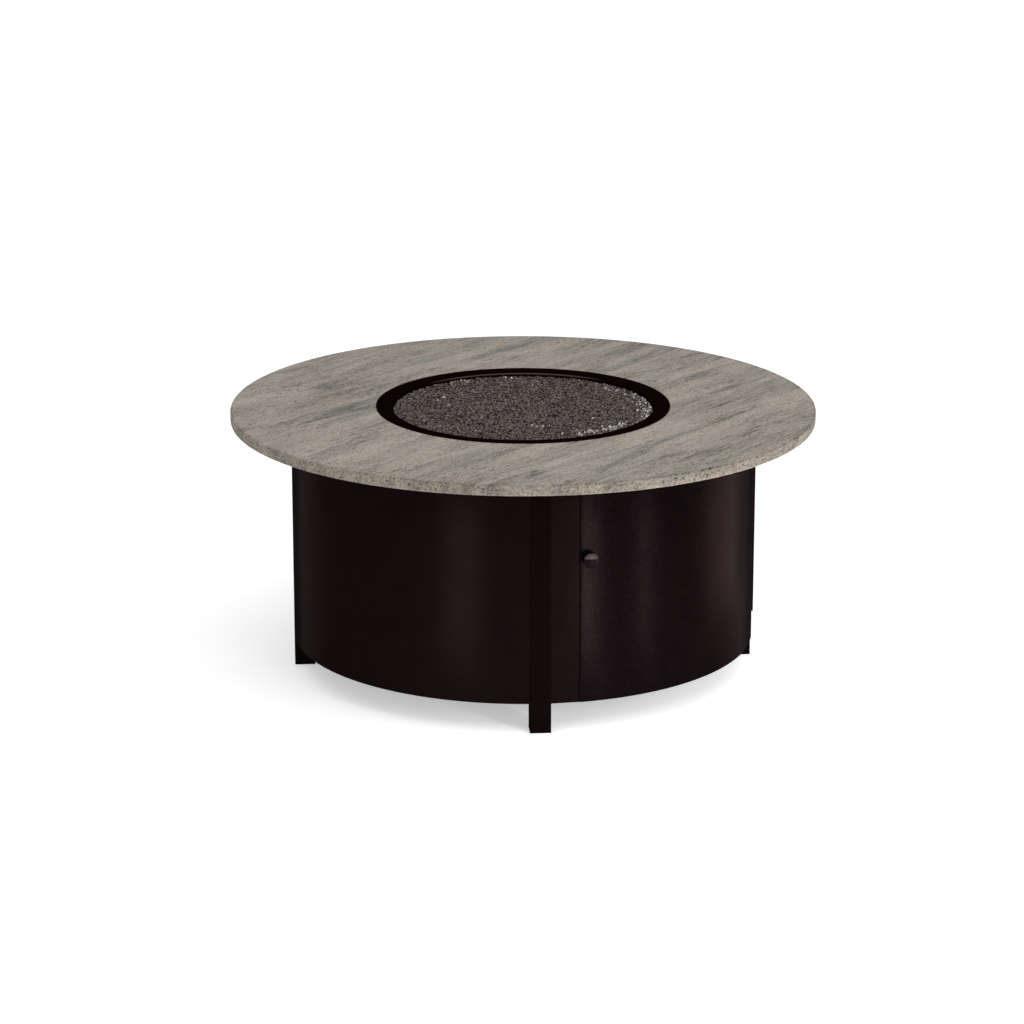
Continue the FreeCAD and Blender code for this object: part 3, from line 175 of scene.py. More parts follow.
@dataclass(frozen=True)
class TravertineComposite:
    """Cast stone composite with a travertine face.

    It is matt, warm grey-beige, with long blue-grey streaks, short dark flecks where the
    face is pitted, and a sandy grain. The grain is drawn coarser than the real sand, which is
    under a millimetre, so that it shows.
    """

    # The attribute that darkens the top's edge: partly wear, partly painted shade.
    EDGE_DARKENING = "edge_wear_and_shade"
    name: str = "travertine_composite"
    streak_angle: float = math.radians(48)
    patches: StoneLayer = StoneLayer(330.0, 150.0, 3.0, 0.55, 1.0)
    bands: StoneLayer = StoneLayer(480.0, 56.0, 6.0, 0.62, 1.0)
    wisps: StoneLayer = StoneLayer(95.0, 6.0, 7.0, 0.72, 1.2)
    flecks: StoneLayer = StoneLayer(17.0, 5.0, 4.0, 0.7, 0.3)
    sand: StoneLayer = StoneLayer(6.0, 4.5, 3.0, 0.75)
    grain: StoneLayer = StoneLayer(2.4, 2.4, 2.0, 0.6)
    middle: float = 0.5
    patch_share: float = 0.25
    band_share: float = 0.45
    relief: float = 0.4
    relief_depth: float = 0.5 * MM
    roughness: float = 0.75
    gloss: float = 0.25

    def noise(self, tree: bpy.types.NodeTree, place: bpy.types.NodeSocket,
              layer: StoneLayer) -> bpy.types.NodeSocket:
        """Noise with cells of the layer's size, drawn out along the streaks.

        Args:
            tree: The material's tree.
            place: Object coordinates.
            layer: The layer's numbers.

        Returns:
            The noise's value.
        """
        long, wide = layer.long_mm * MM, layer.wide_mm * MM
        stretched = add_node(tree, "Mapping", {
            "Vector": place, "Rotation": (0.0, 0.0, self.streak_angle), "Scale": (long, wide, wide),
        }, vector_type="TEXTURE")
        made = add_node(tree, "TexNoise", {
            "Vector": stretched.outputs[0], "Scale": 1.0, "Detail": layer.octaves,
            "Roughness": layer.roughness, "Distortion": layer.bend,
        })
        return made.outputs["Fac"]

    def build(self) -> bpy.types.Material:
        """Makes the material.

        Returns:
            The finished material.
        """
        material, tree, place = new_material(self.name)
        patches, bands, wisps, flecks, sand, grain = (
            self.noise(tree, place, layer)
            for layer in (self.patches, self.bands, self.wisps, self.flecks, self.sand, self.grain)
        )
        ground = add_node(tree, "ValToRGB", {"Fac": bands}, stops=(
            (0.33, "#9b9994"), (0.45, "#a7a29a"), (0.55, "#b2a89e"), (0.70, "#b7ada3"),
        ))
        calm = add_node(tree, "Math", {0: patches, 1: self.middle}, operation="SUBTRACT")
        banded = add_node(tree, "Math", {
            0: bands, 1: self.band_share, 2: wisps,
        }, operation="MULTIPLY_ADD")
        wispy, pitty = (
            add_node(tree, "Math", {
                0: calm.outputs[0], 1: self.patch_share, 2: pattern,
            }, operation="MULTIPLY_ADD")
            for pattern in (banded.outputs[0], flecks)
        )
        wisp_shade = add_node(tree, "ValToRGB", {"Fac": wispy.outputs[0]}, stops=(
            (0.56, "#a8aaa7"), (0.63, "#d3d3d0"), (0.70, "#f0efed"), (0.85, "#ffffff"),
        ))
        fleck_shade = add_node(tree, "ValToRGB", {"Fac": pitty.outputs[0]}, stops=(
            (0.32, "#625d5b"), (0.37, "#cdcac7"), (0.41, "#ffffff"),
        ))
        sand_shade = add_node(tree, "ValToRGB", {"Fac": sand}, stops=(
            (0.32, "#aba9a6"), (0.50, "#eae9e7"), (0.66, "#ffffff"),
        ))
        darkening = add_node(tree, "Attribute", attribute_name=self.EDGE_DARKENING)
        # Painted shade on the edge: the whole edge band a little darker than the top, the pits
        # darker still as shaded hollows; partly this is wear.
        wear_and_painted_shade = add_node(tree, "ValToRGB", {"Fac": darkening.outputs["Fac"]}, stops=(
            (0.0, "#ffffff"), (0.03, "#f4f2ef"), (0.35, "#e3e0dc"), (0.8, "#a09b96"),
        ))
        colour = ground.outputs[0]
        for layer in (wisp_shade, fleck_shade, sand_shade, wear_and_painted_shade):
            mixed = add_node(tree, "Mix", {
                SHARE: 1.0, FIRST: colour, SECOND: layer.outputs[0],
            }, data_type="RGBA", blend_type="MULTIPLY")
            colour = mixed.outputs[RESULT]
        pitted = add_node(tree, "Math", {0: fleck_shade.outputs[0], 1: sand}, operation="ADD")
        height = add_node(tree, "Math", {0: pitted.outputs[0], 1: grain}, operation="ADD")
        bump = add_node(tree, "Bump", {
            "Strength": self.relief, "Distance": self.relief_depth, "Height": height.outputs[0],
        })
        close_material(tree, {
            "Base Color": colour, "Roughness": self.roughness, "Normal": bump.outputs[0],
            "Specular IOR Level": self.gloss,
        })
        return material


@dataclass(frozen=True)
class BronzePowderCoat:
    """Satin dark bronze powder coat on steel.

    It is a coat with metal flake in it, nearly black with a little red, and it stays dark where
    it is seen at a slant. Its orange peel is drawn coarser than the real millimetre or two, so
    that it shows. The posts' coat is darker, and the door's has more fleck in it.
    """

    name: str = "bronze_powder_coat"
    colour: str = "#140d0d"
    shade: str = "#120b0c"
    fleck: str = "#eeeeee"
    slant: str = "#c4c0c0"
    dimple_mm: float = 6.0
    mottle_mm: float = 60.0
    roughness: float = 0.28
    flake: float = 0.45
    edge_flake: float = 0.02
    slant_from: float = 0.55
    slant_to: float = 0.85
    relief: float = 0.3
    relief_depth: float = 0.2 * MM

    def build(self) -> bpy.types.Material:
        """Makes the material.

        Returns:
            The finished material.
        """
        material, tree, place = new_material(self.name)
        mottle = add_node(tree, "TexNoise", {
            "Vector": place, "Scale": per(self.mottle_mm), "Detail": 3.0,
        })
        coat = add_node(tree, "ValToRGB", {"Fac": mottle.outputs["Fac"]}, stops=(
            (0.35, self.shade), (0.65, self.colour),
        ))
        dimples = add_node(tree, "TexNoise", {
            "Vector": place, "Scale": per(self.dimple_mm), "Detail": 2.0,
        })
        flecks = add_node(tree, "ValToRGB", {"Fac": dimples.outputs["Fac"]}, stops=(
            (0.38, self.fleck), (0.62, "#ffffff"),
        ))
        flecked = add_node(tree, "Mix", {
            SHARE: 1.0, FIRST: coat.outputs[0], SECOND: flecks.outputs[0],
        }, data_type="RGBA", blend_type="MULTIPLY")
        bump = add_node(tree, "Bump", {
            "Strength": self.relief, "Distance": self.relief_depth,
            "Height": dimples.outputs["Fac"],
        })
        slanted = add_node(tree, "LayerWeight", {"Blend": 0.5})
        gloss = add_node(tree, "MapRange", {
            "Value": slanted.outputs["Facing"], "From Min": self.slant_from,
            "From Max": self.slant_to, "To Min": self.flake, "To Max": self.edge_flake,
        }, interpolation_type="SMOOTHSTEP")
        close_material(tree, {
            "Base Color": flecked.outputs[RESULT], "Metallic": gloss.outputs[0],
            "Roughness": self.roughness, "Specular IOR Level": 0.0,
            "Specular Tint": linear(self.slant), "Normal": bump.outputs[0],
        })
        return material


@dataclass(frozen=True)
class PaintedHighlightKnob:
    """Bronze-coated zinc casting of the door's knob.

    It is satin and nearly black, with a painted highlight: its upper part is painted paler,
    where it would reflect the light from above. Its grain is drawn coarser than the real one, so
    that it shows.
    """

    name: str = "bronze_knob_painted_highlight"
    colour: str = "#151011"
    # Painted highlight: the knob's upper part takes this paler colour, fading in between these
    # heights.
    painted_highlight: str = "#5b5052"
    highlight_from: float = 410.5 * MM
    highlight_to: float = 414.0 * MM
    grain_mm: float = 2.0
    relief: float = 0.1
    relief_depth: float = 0.1 * MM
    roughness: float = 0.34
    flake: float = 0.4

    def build(self) -> bpy.types.Material:
        """Makes the material.

        Returns:
            The finished material.
        """
        material, tree, place = new_material(self.name)
        parts = add_node(tree, "SeparateXYZ", {"Vector": place})
        # Painted highlight: paler above the first height, fully pale above the second.
        highlight_share = add_node(tree, "MapRange", {
            "Value": parts.outputs["Z"], "From Min": self.highlight_from, "From Max": self.highlight_to,
        })
        face = add_node(tree, "ValToRGB", {"Fac": highlight_share.outputs[0]}, stops=(
            (0.0, self.colour), (1.0, self.painted_highlight),
        ))
        grain = add_node(tree, "TexNoise", {
            "Vector": place, "Scale": per(self.grain_mm), "Detail": 2.0,
        })
        bump = add_node(tree, "Bump", {
            "Strength": self.relief, "Distance": self.relief_depth, "Height": grain.outputs["Fac"],
        })
        close_material(tree, {
            "Base Color": face.outputs[0], "Metallic": self.flake, "Roughness": self.roughness,
            "Specular IOR Level": 0.0, "Normal": bump.outputs[0],
        })
        return material


@dataclass(frozen=True)
class BowlEnamel:
    """Heat-proof black-brown enamel, satin, with a painted highlight on the rolled edge at the
    back.
    """

    name: str = "bowl_heat_proof_enamel"
    colour: str = "#0d0605"
    shade: str = "#0a0504"
    # Colour of the painted highlight on the bowl's rolled edge at the back.
    painted_highlight: str = "#4a3f3a"
    edge_from: float = 304.0 * MM
    edge_to: float = 310.0 * MM
    back_from: float = 225.0 * MM
    back_to: float = 275.0 * MM
    mottle_mm: float = 25.0
    roughness: float = 0.4

    def build(self) -> bpy.types.Material:
        """Makes the material.

        Returns:
            The finished material.
        """
        material, tree, place = new_material(self.name)
        flat = add_node(tree, "VectorMath", {0: place, 1: (1.0, 1.0, 0.0)}, operation="MULTIPLY")
        reach = add_node(tree, "VectorMath", {0: flat.outputs[0]}, operation="LENGTH")
        across = add_node(tree, "MapRange", {
            "Value": reach.outputs["Value"], "From Min": self.edge_from, "From Max": self.edge_to,
        })
        edge = add_node(tree, "ValToRGB", {"Fac": across.outputs[0]}, stops=(
            (0.24, "#000000"), (0.30, "#ffffff"), (0.60, "#ffffff"), (0.85, "#000000"),
        ))
        mottle = add_node(tree, "TexNoise", {
            "Vector": place, "Scale": per(self.mottle_mm), "Detail": 4.0,
        })
        enamel = add_node(tree, "ValToRGB", {"Fac": mottle.outputs["Fac"]}, stops=(
            (0.35, self.shade), (0.65, self.colour),
        ))
        parts = add_node(tree, "SeparateXYZ", {0: place})
        back = add_node(tree, "MapRange", {
            "Value": parts.outputs["Y"], "From Min": self.back_from, "From Max": self.back_to,
        })
        # Painted highlight: the rolled edge is painted paler at the back, where it would reflect
        # the light above.
        highlight_mask = add_node(tree, "Math", {0: edge.outputs[0], 1: back.outputs[0]}, operation="MULTIPLY")
        highlighted = add_node(tree, "Mix", {
            SHARE: highlight_mask.outputs[0], FIRST: enamel.outputs[0], SECOND: linear(self.painted_highlight),
        }, data_type="RGBA")
        close_material(tree, {
            "Base Color": highlighted.outputs[RESULT], "Roughness": self.roughness,
            "Specular IOR Level": 0.0,
        })
        return material


@dataclass(frozen=True)
class CrushedFireGlass:
    """Crushed tempered glass, brown-grey: sharp glossy faces, each grain its own shade."""

    name: str = "crushed_fire_glass"
    dark: str = "#40362f"
    middle: str = "#4e433d"
    light: str = "#61564f"
    # Colour of the pale grains, which are painted glints.
    clear: str = "#c4bfba"
    crack_mm: float = 3.0
    crack_share: float = 0.2
    roughness: float = 0.2
    ior: float = 1.52

    def build(self) -> bpy.types.Material:
        """Makes the material.

        Returns:
            The finished material.
        """
        material, tree, place = new_material(self.name)
        tone = add_node(tree, "Attribute", attribute_name=ChipBed.TONE)
        # The palest stop is the painted glint of the pale grains.
        body = add_node(tree, "ValToRGB", {"Fac": tone.outputs["Fac"]}, stops=(
            (0.0, self.dark), (0.45, self.middle), (ChipBed.LIGHTEST_TONE, self.light),
            (0.95, self.clear),
        ))
        cracks = add_node(tree, "TexVoronoi", {"Vector": place, "Scale": per(self.crack_mm)})
        depth = add_node(tree, "Mix", {
            SHARE: self.crack_share, FIRST: body.outputs[0], SECOND: cracks.outputs["Distance"],
        }, data_type="RGBA", blend_type="OVERLAY")
        close_material(tree, {
            "Base Color": depth.outputs[RESULT], "Roughness": self.roughness, "IOR": self.ior,
        })
        return material


@dataclass(frozen=True)
class Metal:
    """A bare metal with a fine directionless grain, drawn coarser than the real one to show.

    Stainless steel is grey and satin, zinc plate is paler and cloudy, and machined brass
    is yellow and bright.
    """

    name: str
    colour: str
    shade: str
    roughness: float
    grain_mm: float
    relief: float = 0.1
    relief_depth: float = 0.1 * MM

    def build(self) -> bpy.types.Material:
        """Makes the material.

        Returns:
            The finished material.
        """
        material, tree, place = new_material(self.name)
        grain = add_node(tree, "TexNoise", {
            "Vector": place, "Scale": per(self.grain_mm), "Detail": 4.0,
        })
        face = add_node(tree, "ValToRGB", {"Fac": grain.outputs["Fac"]}, stops=(
            (0.35, self.shade), (0.65, self.colour),
        ))
        bump = add_node(tree, "Bump", {
            "Strength": self.relief, "Distance": self.relief_depth, "Height": grain.outputs["Fac"],
        })
        close_material(tree, {
            "Base Color": face.outputs[0], "Metallic": 1.0, "Roughness": self.roughness,
            "Normal": bump.outputs[0],
        })
        return material


@dataclass(frozen=True)
class Moulding:
    """A moulded or glazed material in one colour, with a fine surface grain.

    Nylon is black and satin, rubber is blacker and dull, and glazed ceramic is white and
    shiny. The grain is drawn coarser than the real one, so that it shows.
    """

    name: str
    colour: str
    shade: str
    roughness: float
    grain_mm: float
    relief: float = 0.15
    relief_depth: float = 0.15 * MM

    def build(self) -> bpy.types.Material:
        """Makes the material.

        Returns:
            The finished material.
        """
        material, tree, place = new_material(self.name)
        grain = add_node(tree, "TexNoise", {
            "Vector": place, "Scale": per(self.grain_mm), "Detail": 3.0,
        })
        face = add_node(tree, "ValToRGB", {"Fac": grain.outputs["Fac"]}, stops=(
            (0.3, self.shade), (0.7, self.colour),
        ))
        bump = add_node(tree, "Bump", {
            "Strength": self.relief, "Distance": self.relief_depth, "Height": grain.outputs["Fac"],
        })
        close_material(tree, {
            "Base Color": face.outputs[0], "Roughness": self.roughness, "Normal": bump.outputs[0],
        })
        return material


@dataclass(frozen=True)
class PaleFloor:
    """Matt white floor, which shows as pure white and keeps the table's shadow."""

    name: str = "pale_floor"
    colour: str = "#f2f2f2"
    shown: str = "#ffffff"
    glow: float = 0.4
    roughness: float = 0.9
    gloss: float = 0.1

    def build(self) -> bpy.types.Material:
        """Makes the material.

        Returns:
            The finished material.
        """
        material, tree, _ = new_material(self.name)
        path = add_node(tree, "LightPath")
        seen = add_node(tree, "Math", {
            0: path.outputs["Is Camera Ray"], 1: path.outputs["Is Glossy Ray"],
        }, operation="MAXIMUM")
        shown = add_node(tree, "Math", {
            0: seen.outputs[0], 1: path.outputs["Is Transmission Ray"],
        }, operation="MAXIMUM")
        glow = add_node(tree, "Math", {0: shown.outputs[0], 1: self.glow}, operation="MULTIPLY")
        close_material(tree, {
            "Base Color": linear(self.colour), "Roughness": self.roughness,
            "Specular IOR Level": self.gloss, "Emission Color": linear(self.shown),
            "Emission Strength": glow.outputs[0],
        })
        return material


def finish_piece(piece: bpy.types.Object, material: bpy.types.Material, slot: Slot, body: Body,
                 *stands_for: str) -> None:
    """Dresses a modelled piece and hangs it on its body.

    Args:
        piece: The piece, in place.
        material: Its finish.
        slot: The record's slot that the finish belongs to; not used.
        body: The body that it moves with.
        stands_for: The solids that it shows in place of.
    """
    piece.data.materials.clear()
    piece.data.materials.append(material)
    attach(piece, body.value)
    if stands_for:
        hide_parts(*stands_for)
    LOG.info("%s: %d faces", piece.name, len(piece.data.polygons))


def make_object(name: str, mesh_source: bmesh.types.BMesh,
                sharp_angle: float = SHARP_ANGLE) -> bpy.types.Object:
    """Turns a bmesh into an object that is smooth up to an angle.

    Args:
        name: The piece's name.
        mesh_source: Its mesh, which is freed.
        sharp_angle: Edges that turn more than this stay sharp.

    Returns:
        The object, linked to the scene.
    """
    mesh = bpy.data.meshes.new(name)
    mesh_source.to_mesh(mesh)
    mesh_source.free()
    mesh.shade_smooth()
    mesh.set_sharp_from_angle(angle=sharp_angle)
    piece = bpy.data.objects.new(name, mesh)
    bpy.context.scene.collection.objects.link(piece)
    return piece


def spun(outline: list[tuple[float, float]], steps: int) -> bmesh.types.BMesh:
    """Spins a closed outline fully round the table's axis.

    Args:
        outline: Radius and height of each corner, in order.
        steps: Number of segments round.

    Returns:
        The closed ring, with its normals outwards.
    """
    ring = bmesh.new()
    corners = [ring.verts.new((radius, 0.0, height)) for radius, height in outline]
    edges = [ring.edges.new(pair) for pair in zip(corners, corners[1:] + corners[:1])]
    bmesh.ops.spin(ring, geom=corners + edges, axis=(0, 0, 1), cent=(0, 0, 0), angle=math.tau,
                   steps=steps, use_merge=True)
    bmesh.ops.remove_doubles(ring, verts=ring.verts, dist=WELD)
    bmesh.ops.recalc_face_normals(ring, faces=ring.faces)
    return ring


def evenly(start: float, end: float, count: int) -> list[float]:
    """Evenly spaced values from start up to, but not including, end."""
    return [start + (end - start) * index / count for index in range(count)]


@dataclass
class StoneTop:
    """The round top: a flat face and a pitted, slightly eased edge.

    The edge wanders slowly, and it has pits and finer crumbs. Each has the size of its cells in
    millimetres, the noise at which it starts, how much more noise makes it full, its depth and
    its share of the edge's darkening, which is partly wear and partly painted shade: the whole
    edge is painted a little darker than the top, and its pits darker still, as shaded hollows.
    """

    CRUMB_SHIFT = Vector((7.0, 3.0, 1.0))
    steps: int = 1440
    edge_rows: int = 12
    top_rows: int = 14
    ease: float = 3.0 * MM
    underside_rim: float = 60 * MM
    worn_width: float = 4.5 * MM
    underside_skipped: float = 0.1 * MM
    wander_mm: float = 45.0
    wander_depth: float = 0.5 * MM
    wander_shade: float = 0.15
    pit_mm: float = 6.5
    pit_from: float = 0.24
    pit_span: float = 0.5
    pit_depth: float = 0.9 * MM
    pit_shade: float = 0.9
    crumb_mm: float = 4.0
    crumb_from: float = 0.1
    crumb_span: float = 0.6
    crumb_depth: float = 0.3 * MM
    crumb_shade: float = 0.3
    hole: float = 338.0 * MM
    high: float = field(init=False)
    low: float = field(init=False)
    radius: float = field(init=False)

    def __post_init__(self) -> None:
        """Reads the top's size from the frame."""
        lowest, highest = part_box("stone_top")
        self.low, self.high, self.radius = lowest.z, highest.z, highest.x

    def outline(self) -> list[tuple[float, float]]:
        """The section of the top.

        Returns:
            Radius and height of each corner, from the hole's lower edge round.
        """
        corners = [(self.hole, self.low), (self.radius - self.underside_rim, self.low)]
        quarter = [math.radians(turn) for turn in (0, 30, 60, 90)]
        out, ease = self.radius, self.ease
        corners += [
            (out - ease + ease * math.sin(turn), self.low + ease - ease * math.cos(turn))
            for turn in quarter
        ]
        rows = evenly(self.low + ease, self.high - ease, self.edge_rows)[1:]
        corners += [(out, height) for height in rows]
        corners += [
            (out - ease + ease * math.cos(turn), self.high - ease + ease * math.sin(turn))
            for turn in quarter
        ]
        rings = evenly(out - 2 * ease, self.hole, self.top_rows)
        corners += [(radius, self.high) for radius in rings]
        return corners + [(self.hole, self.high)]

    def weather(self, slab: bmesh.types.BMesh) -> None:
        """Wears the edge: a slow wander, pits and crumbs, all of them inwards, and darkens it
        there, partly as wear and partly as painted shade.

        Args:
            slab: The slab's mesh.
        """
        darkening = slab.verts.layers.float.new(TravertineComposite.EDGE_DARKENING)
        inmost, lowest = self.radius - self.worn_width, self.low + self.underside_skipped
        for vert in slab.verts:
            flat = Vector((vert.co.x, vert.co.y, 0.0))
            if flat.length < inmost or vert.co.z < lowest:
                continue
            slow = 0.5 + 0.5 * noise.noise(vert.co * per(self.wander_mm))
            rough = noise.noise(vert.co * per(self.pit_mm))
            fine = noise.noise(vert.co * per(self.crumb_mm) + self.CRUMB_SHIFT)
            pit = max(0.0, rough - self.pit_from) / self.pit_span
            crumb = max(0.0, fine - self.crumb_from) / self.crumb_span
            shade = self.pit_shade * pit + self.crumb_shade * crumb + self.wander_shade * slow
            depth = self.wander_depth * slow + self.pit_depth * pit + self.crumb_depth * crumb
            vert[darkening] = min(1.0, shade)
            vert.co -= flat.normalized() * depth

    def build(self, stone: bpy.types.Material) -> None:
        """Models and dresses the top.

        Args:
            stone: The stone finish.
        """
        slab = spun(self.outline(), self.steps)
        self.weather(slab)
        finish_piece(make_object("stone_slab", slab), stone, Slot.STONE, Body.TABLE, "stone_top")


@dataclass
class ChipBed:
    """The bed of crushed glass: a low mound and thousands of sharp grains on it.

    A grain's tone is 0 to the lightest where it is coloured, and 1 where it is pale: a painted
    glint where the light catches the glass.
    """

    TONE = "chip_tone"
    GLINT_TONE = 1.0
    LIGHTEST_TONE = 0.9
    radius: float = 303.5 * MM
    overhang: float = 1.5 * MM
    spacing: float = 6.6 * MM
    row_share: float = 0.86
    smallest: float = 3.6 * MM
    largest: float = 6.2 * MM
    girth: float = 0.75
    shapes: int = 14
    corners: int = 9
    widths: tuple[float, float] = (0.6, 1.0)
    thicknesses: tuple[float, float] = (0.5, 0.9)
    reaches: tuple[float, float] = (0.8, 1.0)
    facet_angle: float = math.radians(10)
    seed: int = 20
    sectors: int = 8
    lean: float = 1.4 * MM
    swell: float = 1.2 * MM
    swell_mm: float = 70.0
    toss_mm: float = 1.0
    wall_lift_mm: tuple[float, float] = (-2.0, 0.5)
    # The share of places that each layer of grains fills, and its lift over the surface.
    layers: tuple[tuple[float, float], ...] = ((1.0, -2.6 * MM), (0.5, 0.2 * MM))
    # Each patch of pale grains, which are painted glints where the light catches the glass by the
    # wall: its angle from +X in degrees, its distance from the middle in millimetres, its spread in
    # degrees and the share of its grains that are pale.
    clear: tuple[tuple[float, float, float, float], ...] = (
        (0.0, 292.0, 22.0, 0.5), (35.0, 290.0, 7.0, 0.35), (-43.0, 264.0, 10.0, 0.6),
        (-58.0, 252.0, 7.0, 0.5), (90.0, 300.0, 3.0, 0.35), (115.0, 298.0, 4.0, 0.4),
    )
    glint_depth: float = 13.0 * MM
    glint_anywhere: float = 0.003
    mound_foot: float = 12 * MM
    mound_height: float = 7 * MM
    mound_steps: int = 180
    surface: float = field(init=False)

    def __post_init__(self) -> None:
        """Reads the bed's height from the frame."""
        self.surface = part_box("fire_glass")[1].z

    def grain_shapes(self, chance: random.Random) -> list[bpy.types.Mesh]:
        """Makes a few angular grains of unit size.

        Args:
            chance: The source of random numbers.

        Returns:
            The grains' meshes.
        """
        grains = []
        for index in range(self.shapes):
            grain = bmesh.new()
            for _ in range(self.corners):
                point = Vector(chance.gauss(0.0, 1.0) for _ in range(3)).normalized()
                width, thickness = chance.uniform(*self.widths), chance.uniform(*self.thicknesses)
                stretch = Vector((1.0, width, thickness))
                grain.verts.new(point * stretch * chance.uniform(*self.reaches))
            hull = bmesh.ops.convex_hull(grain, input=grain.verts)
            spare = [item for item in hull["geom_interior"] if isinstance(item, bmesh.types.BMVert)]
            bmesh.ops.delete(grain, geom=spare, context="VERTS")
            bmesh.ops.recalc_face_normals(grain, faces=grain.faces)
            grain.verts.layers.float.new(self.TONE)
            mesh = bpy.data.meshes.new(f"grain{index}")
            grain.to_mesh(mesh)
            grain.free()
            grains.append(mesh)
        return grains

    def places(self, chance: random.Random) -> list[Vector]:
        """Where the grains lie: shaken layers, the upper one thinner, and a row by the wall.

        Args:
            chance: The source of random numbers.

        Returns:
            A point for each grain.
        """
        found = []
        rows = int(self.radius / self.spacing) + 1
        shake = self.spacing * 0.5
        for layer, (share, lift) in enumerate(self.layers):
            for row in range(-rows * 2, rows * 2 + 1):
                for column in range(-rows, rows + 1):
                    if chance.random() > share:
                        continue
                    x = (column + 0.5 * (row % 2)) * self.spacing + chance.uniform(-shake, shake)
                    y = row * self.spacing * self.row_share + chance.uniform(-shake, shake)
                    spot = Vector((x, y, 0.0))
                    if spot.length > self.radius:
                        continue
                    wave = noise.noise(spot * per(self.swell_mm) + Vector((layer, 0, 0)))
                    spot.z = (self.height_at(spot) + lift + self.swell * wave
                              + chance.uniform(-self.toss_mm, self.toss_mm) * MM)
                    found.append(spot)
        for turn in evenly(0.0, math.tau, int(math.tau * self.radius / self.spacing)):
            spot = Vector((math.cos(turn), math.sin(turn), 0.0)) * self.radius
            spot.z = self.height_at(spot) + chance.uniform(*self.wall_lift_mm) * MM
            found.append(spot)
        return found

    def height_at(self, spot: Vector) -> float:
        """The bed's level, a little higher at the back left, where it was heaped."""
        return self.surface + self.lean * (spot.y - spot.x) / (2 * self.radius)

    def glint_share(self, spot: Vector) -> float:
        """How many of the grains here are pale painted glints: few, but more in patches by the
        wall.

        Args:
            spot: A place in the bed.

        Returns:
            The share of clear grains.
        """
        turn = math.degrees(math.atan2(spot.y, spot.x))
        most = 0.0
        for angle, reach, spread, share in self.clear:
            aside = (turn - angle) / spread
            inward = (spot.xy.length - reach * MM) / self.glint_depth
            most = max(most, share * math.exp(-(aside ** 2 + inward ** 2)))
        return self.glint_anywhere + most

    def build(self, glass: bpy.types.Material) -> None:
        """Models and dresses the bed.

        Args:
            glass: The glass finish.
        """
        chance = random.Random(self.seed)
        grains = self.grain_shapes(chance)
        beds = [bmesh.new() for _ in range(self.sectors)]
        limit = self.radius + self.overhang
        for spot in self.places(chance):
            size = chance.uniform(self.smallest, self.largest)
            reach = math.hypot(spot.x, spot.y)
            if reach + size * self.girth > limit:
                spot.xy *= (limit - size * self.girth) / reach
            axis = Vector(chance.gauss(0.0, 1.0) for _ in range(3)).normalized()
            turned = Matrix.Rotation(chance.uniform(0, math.tau), 4, axis)
            placing = Matrix.Translation(spot) @ turned @ Matrix.Scale(size, 4)
            shape = chance.choice(grains)
            # Pale grains are painted glints.
            tone = self.GLINT_TONE
            if chance.random() >= self.glint_share(spot):
                tone = chance.uniform(0.0, self.LIGHTEST_TONE)
            shape.attributes[self.TONE].data.foreach_set("value", [tone] * len(shape.vertices))
            shape.transform(placing)
            sector = int((math.atan2(spot.y, spot.x) / math.tau % 1.0) * self.sectors)
            beds[sector].from_mesh(shape)
            shape.transform(placing.inverted())
        for index, bed in enumerate(beds):
            piece = make_object(f"glass_grains_{index}", bed, self.facet_angle)
            finish_piece(piece, glass, Slot.GLASS, Body.TABLE, "fire_glass")
        for mesh in grains:
            bpy.data.meshes.remove(mesh)
        self.build_mound(glass)

    def build_mound(self, glass: bpy.types.Material) -> None:
        """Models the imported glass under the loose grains.

        Args:
            glass: The glass finish.
        """
        mound = bmesh.new()
        bmesh.ops.create_circle(mound, cap_ends=True, segments=self.mound_steps, radius=self.radius)
        bmesh.ops.translate(mound, verts=mound.verts, vec=(0, 0, self.surface - self.mound_foot))
        skirt = bmesh.ops.extrude_face_region(mound, geom=list(mound.faces))
        raised = [item for item in skirt["geom"] if isinstance(item, bmesh.types.BMVert)]
        bmesh.ops.translate(mound, verts=raised, vec=(0, 0, self.mound_height))
        bmesh.ops.recalc_face_normals(mound, faces=mound.faces)
        finish_piece(make_object("glass_mound", mound), glass, Slot.GLASS, Body.TABLE, "fire_glass")


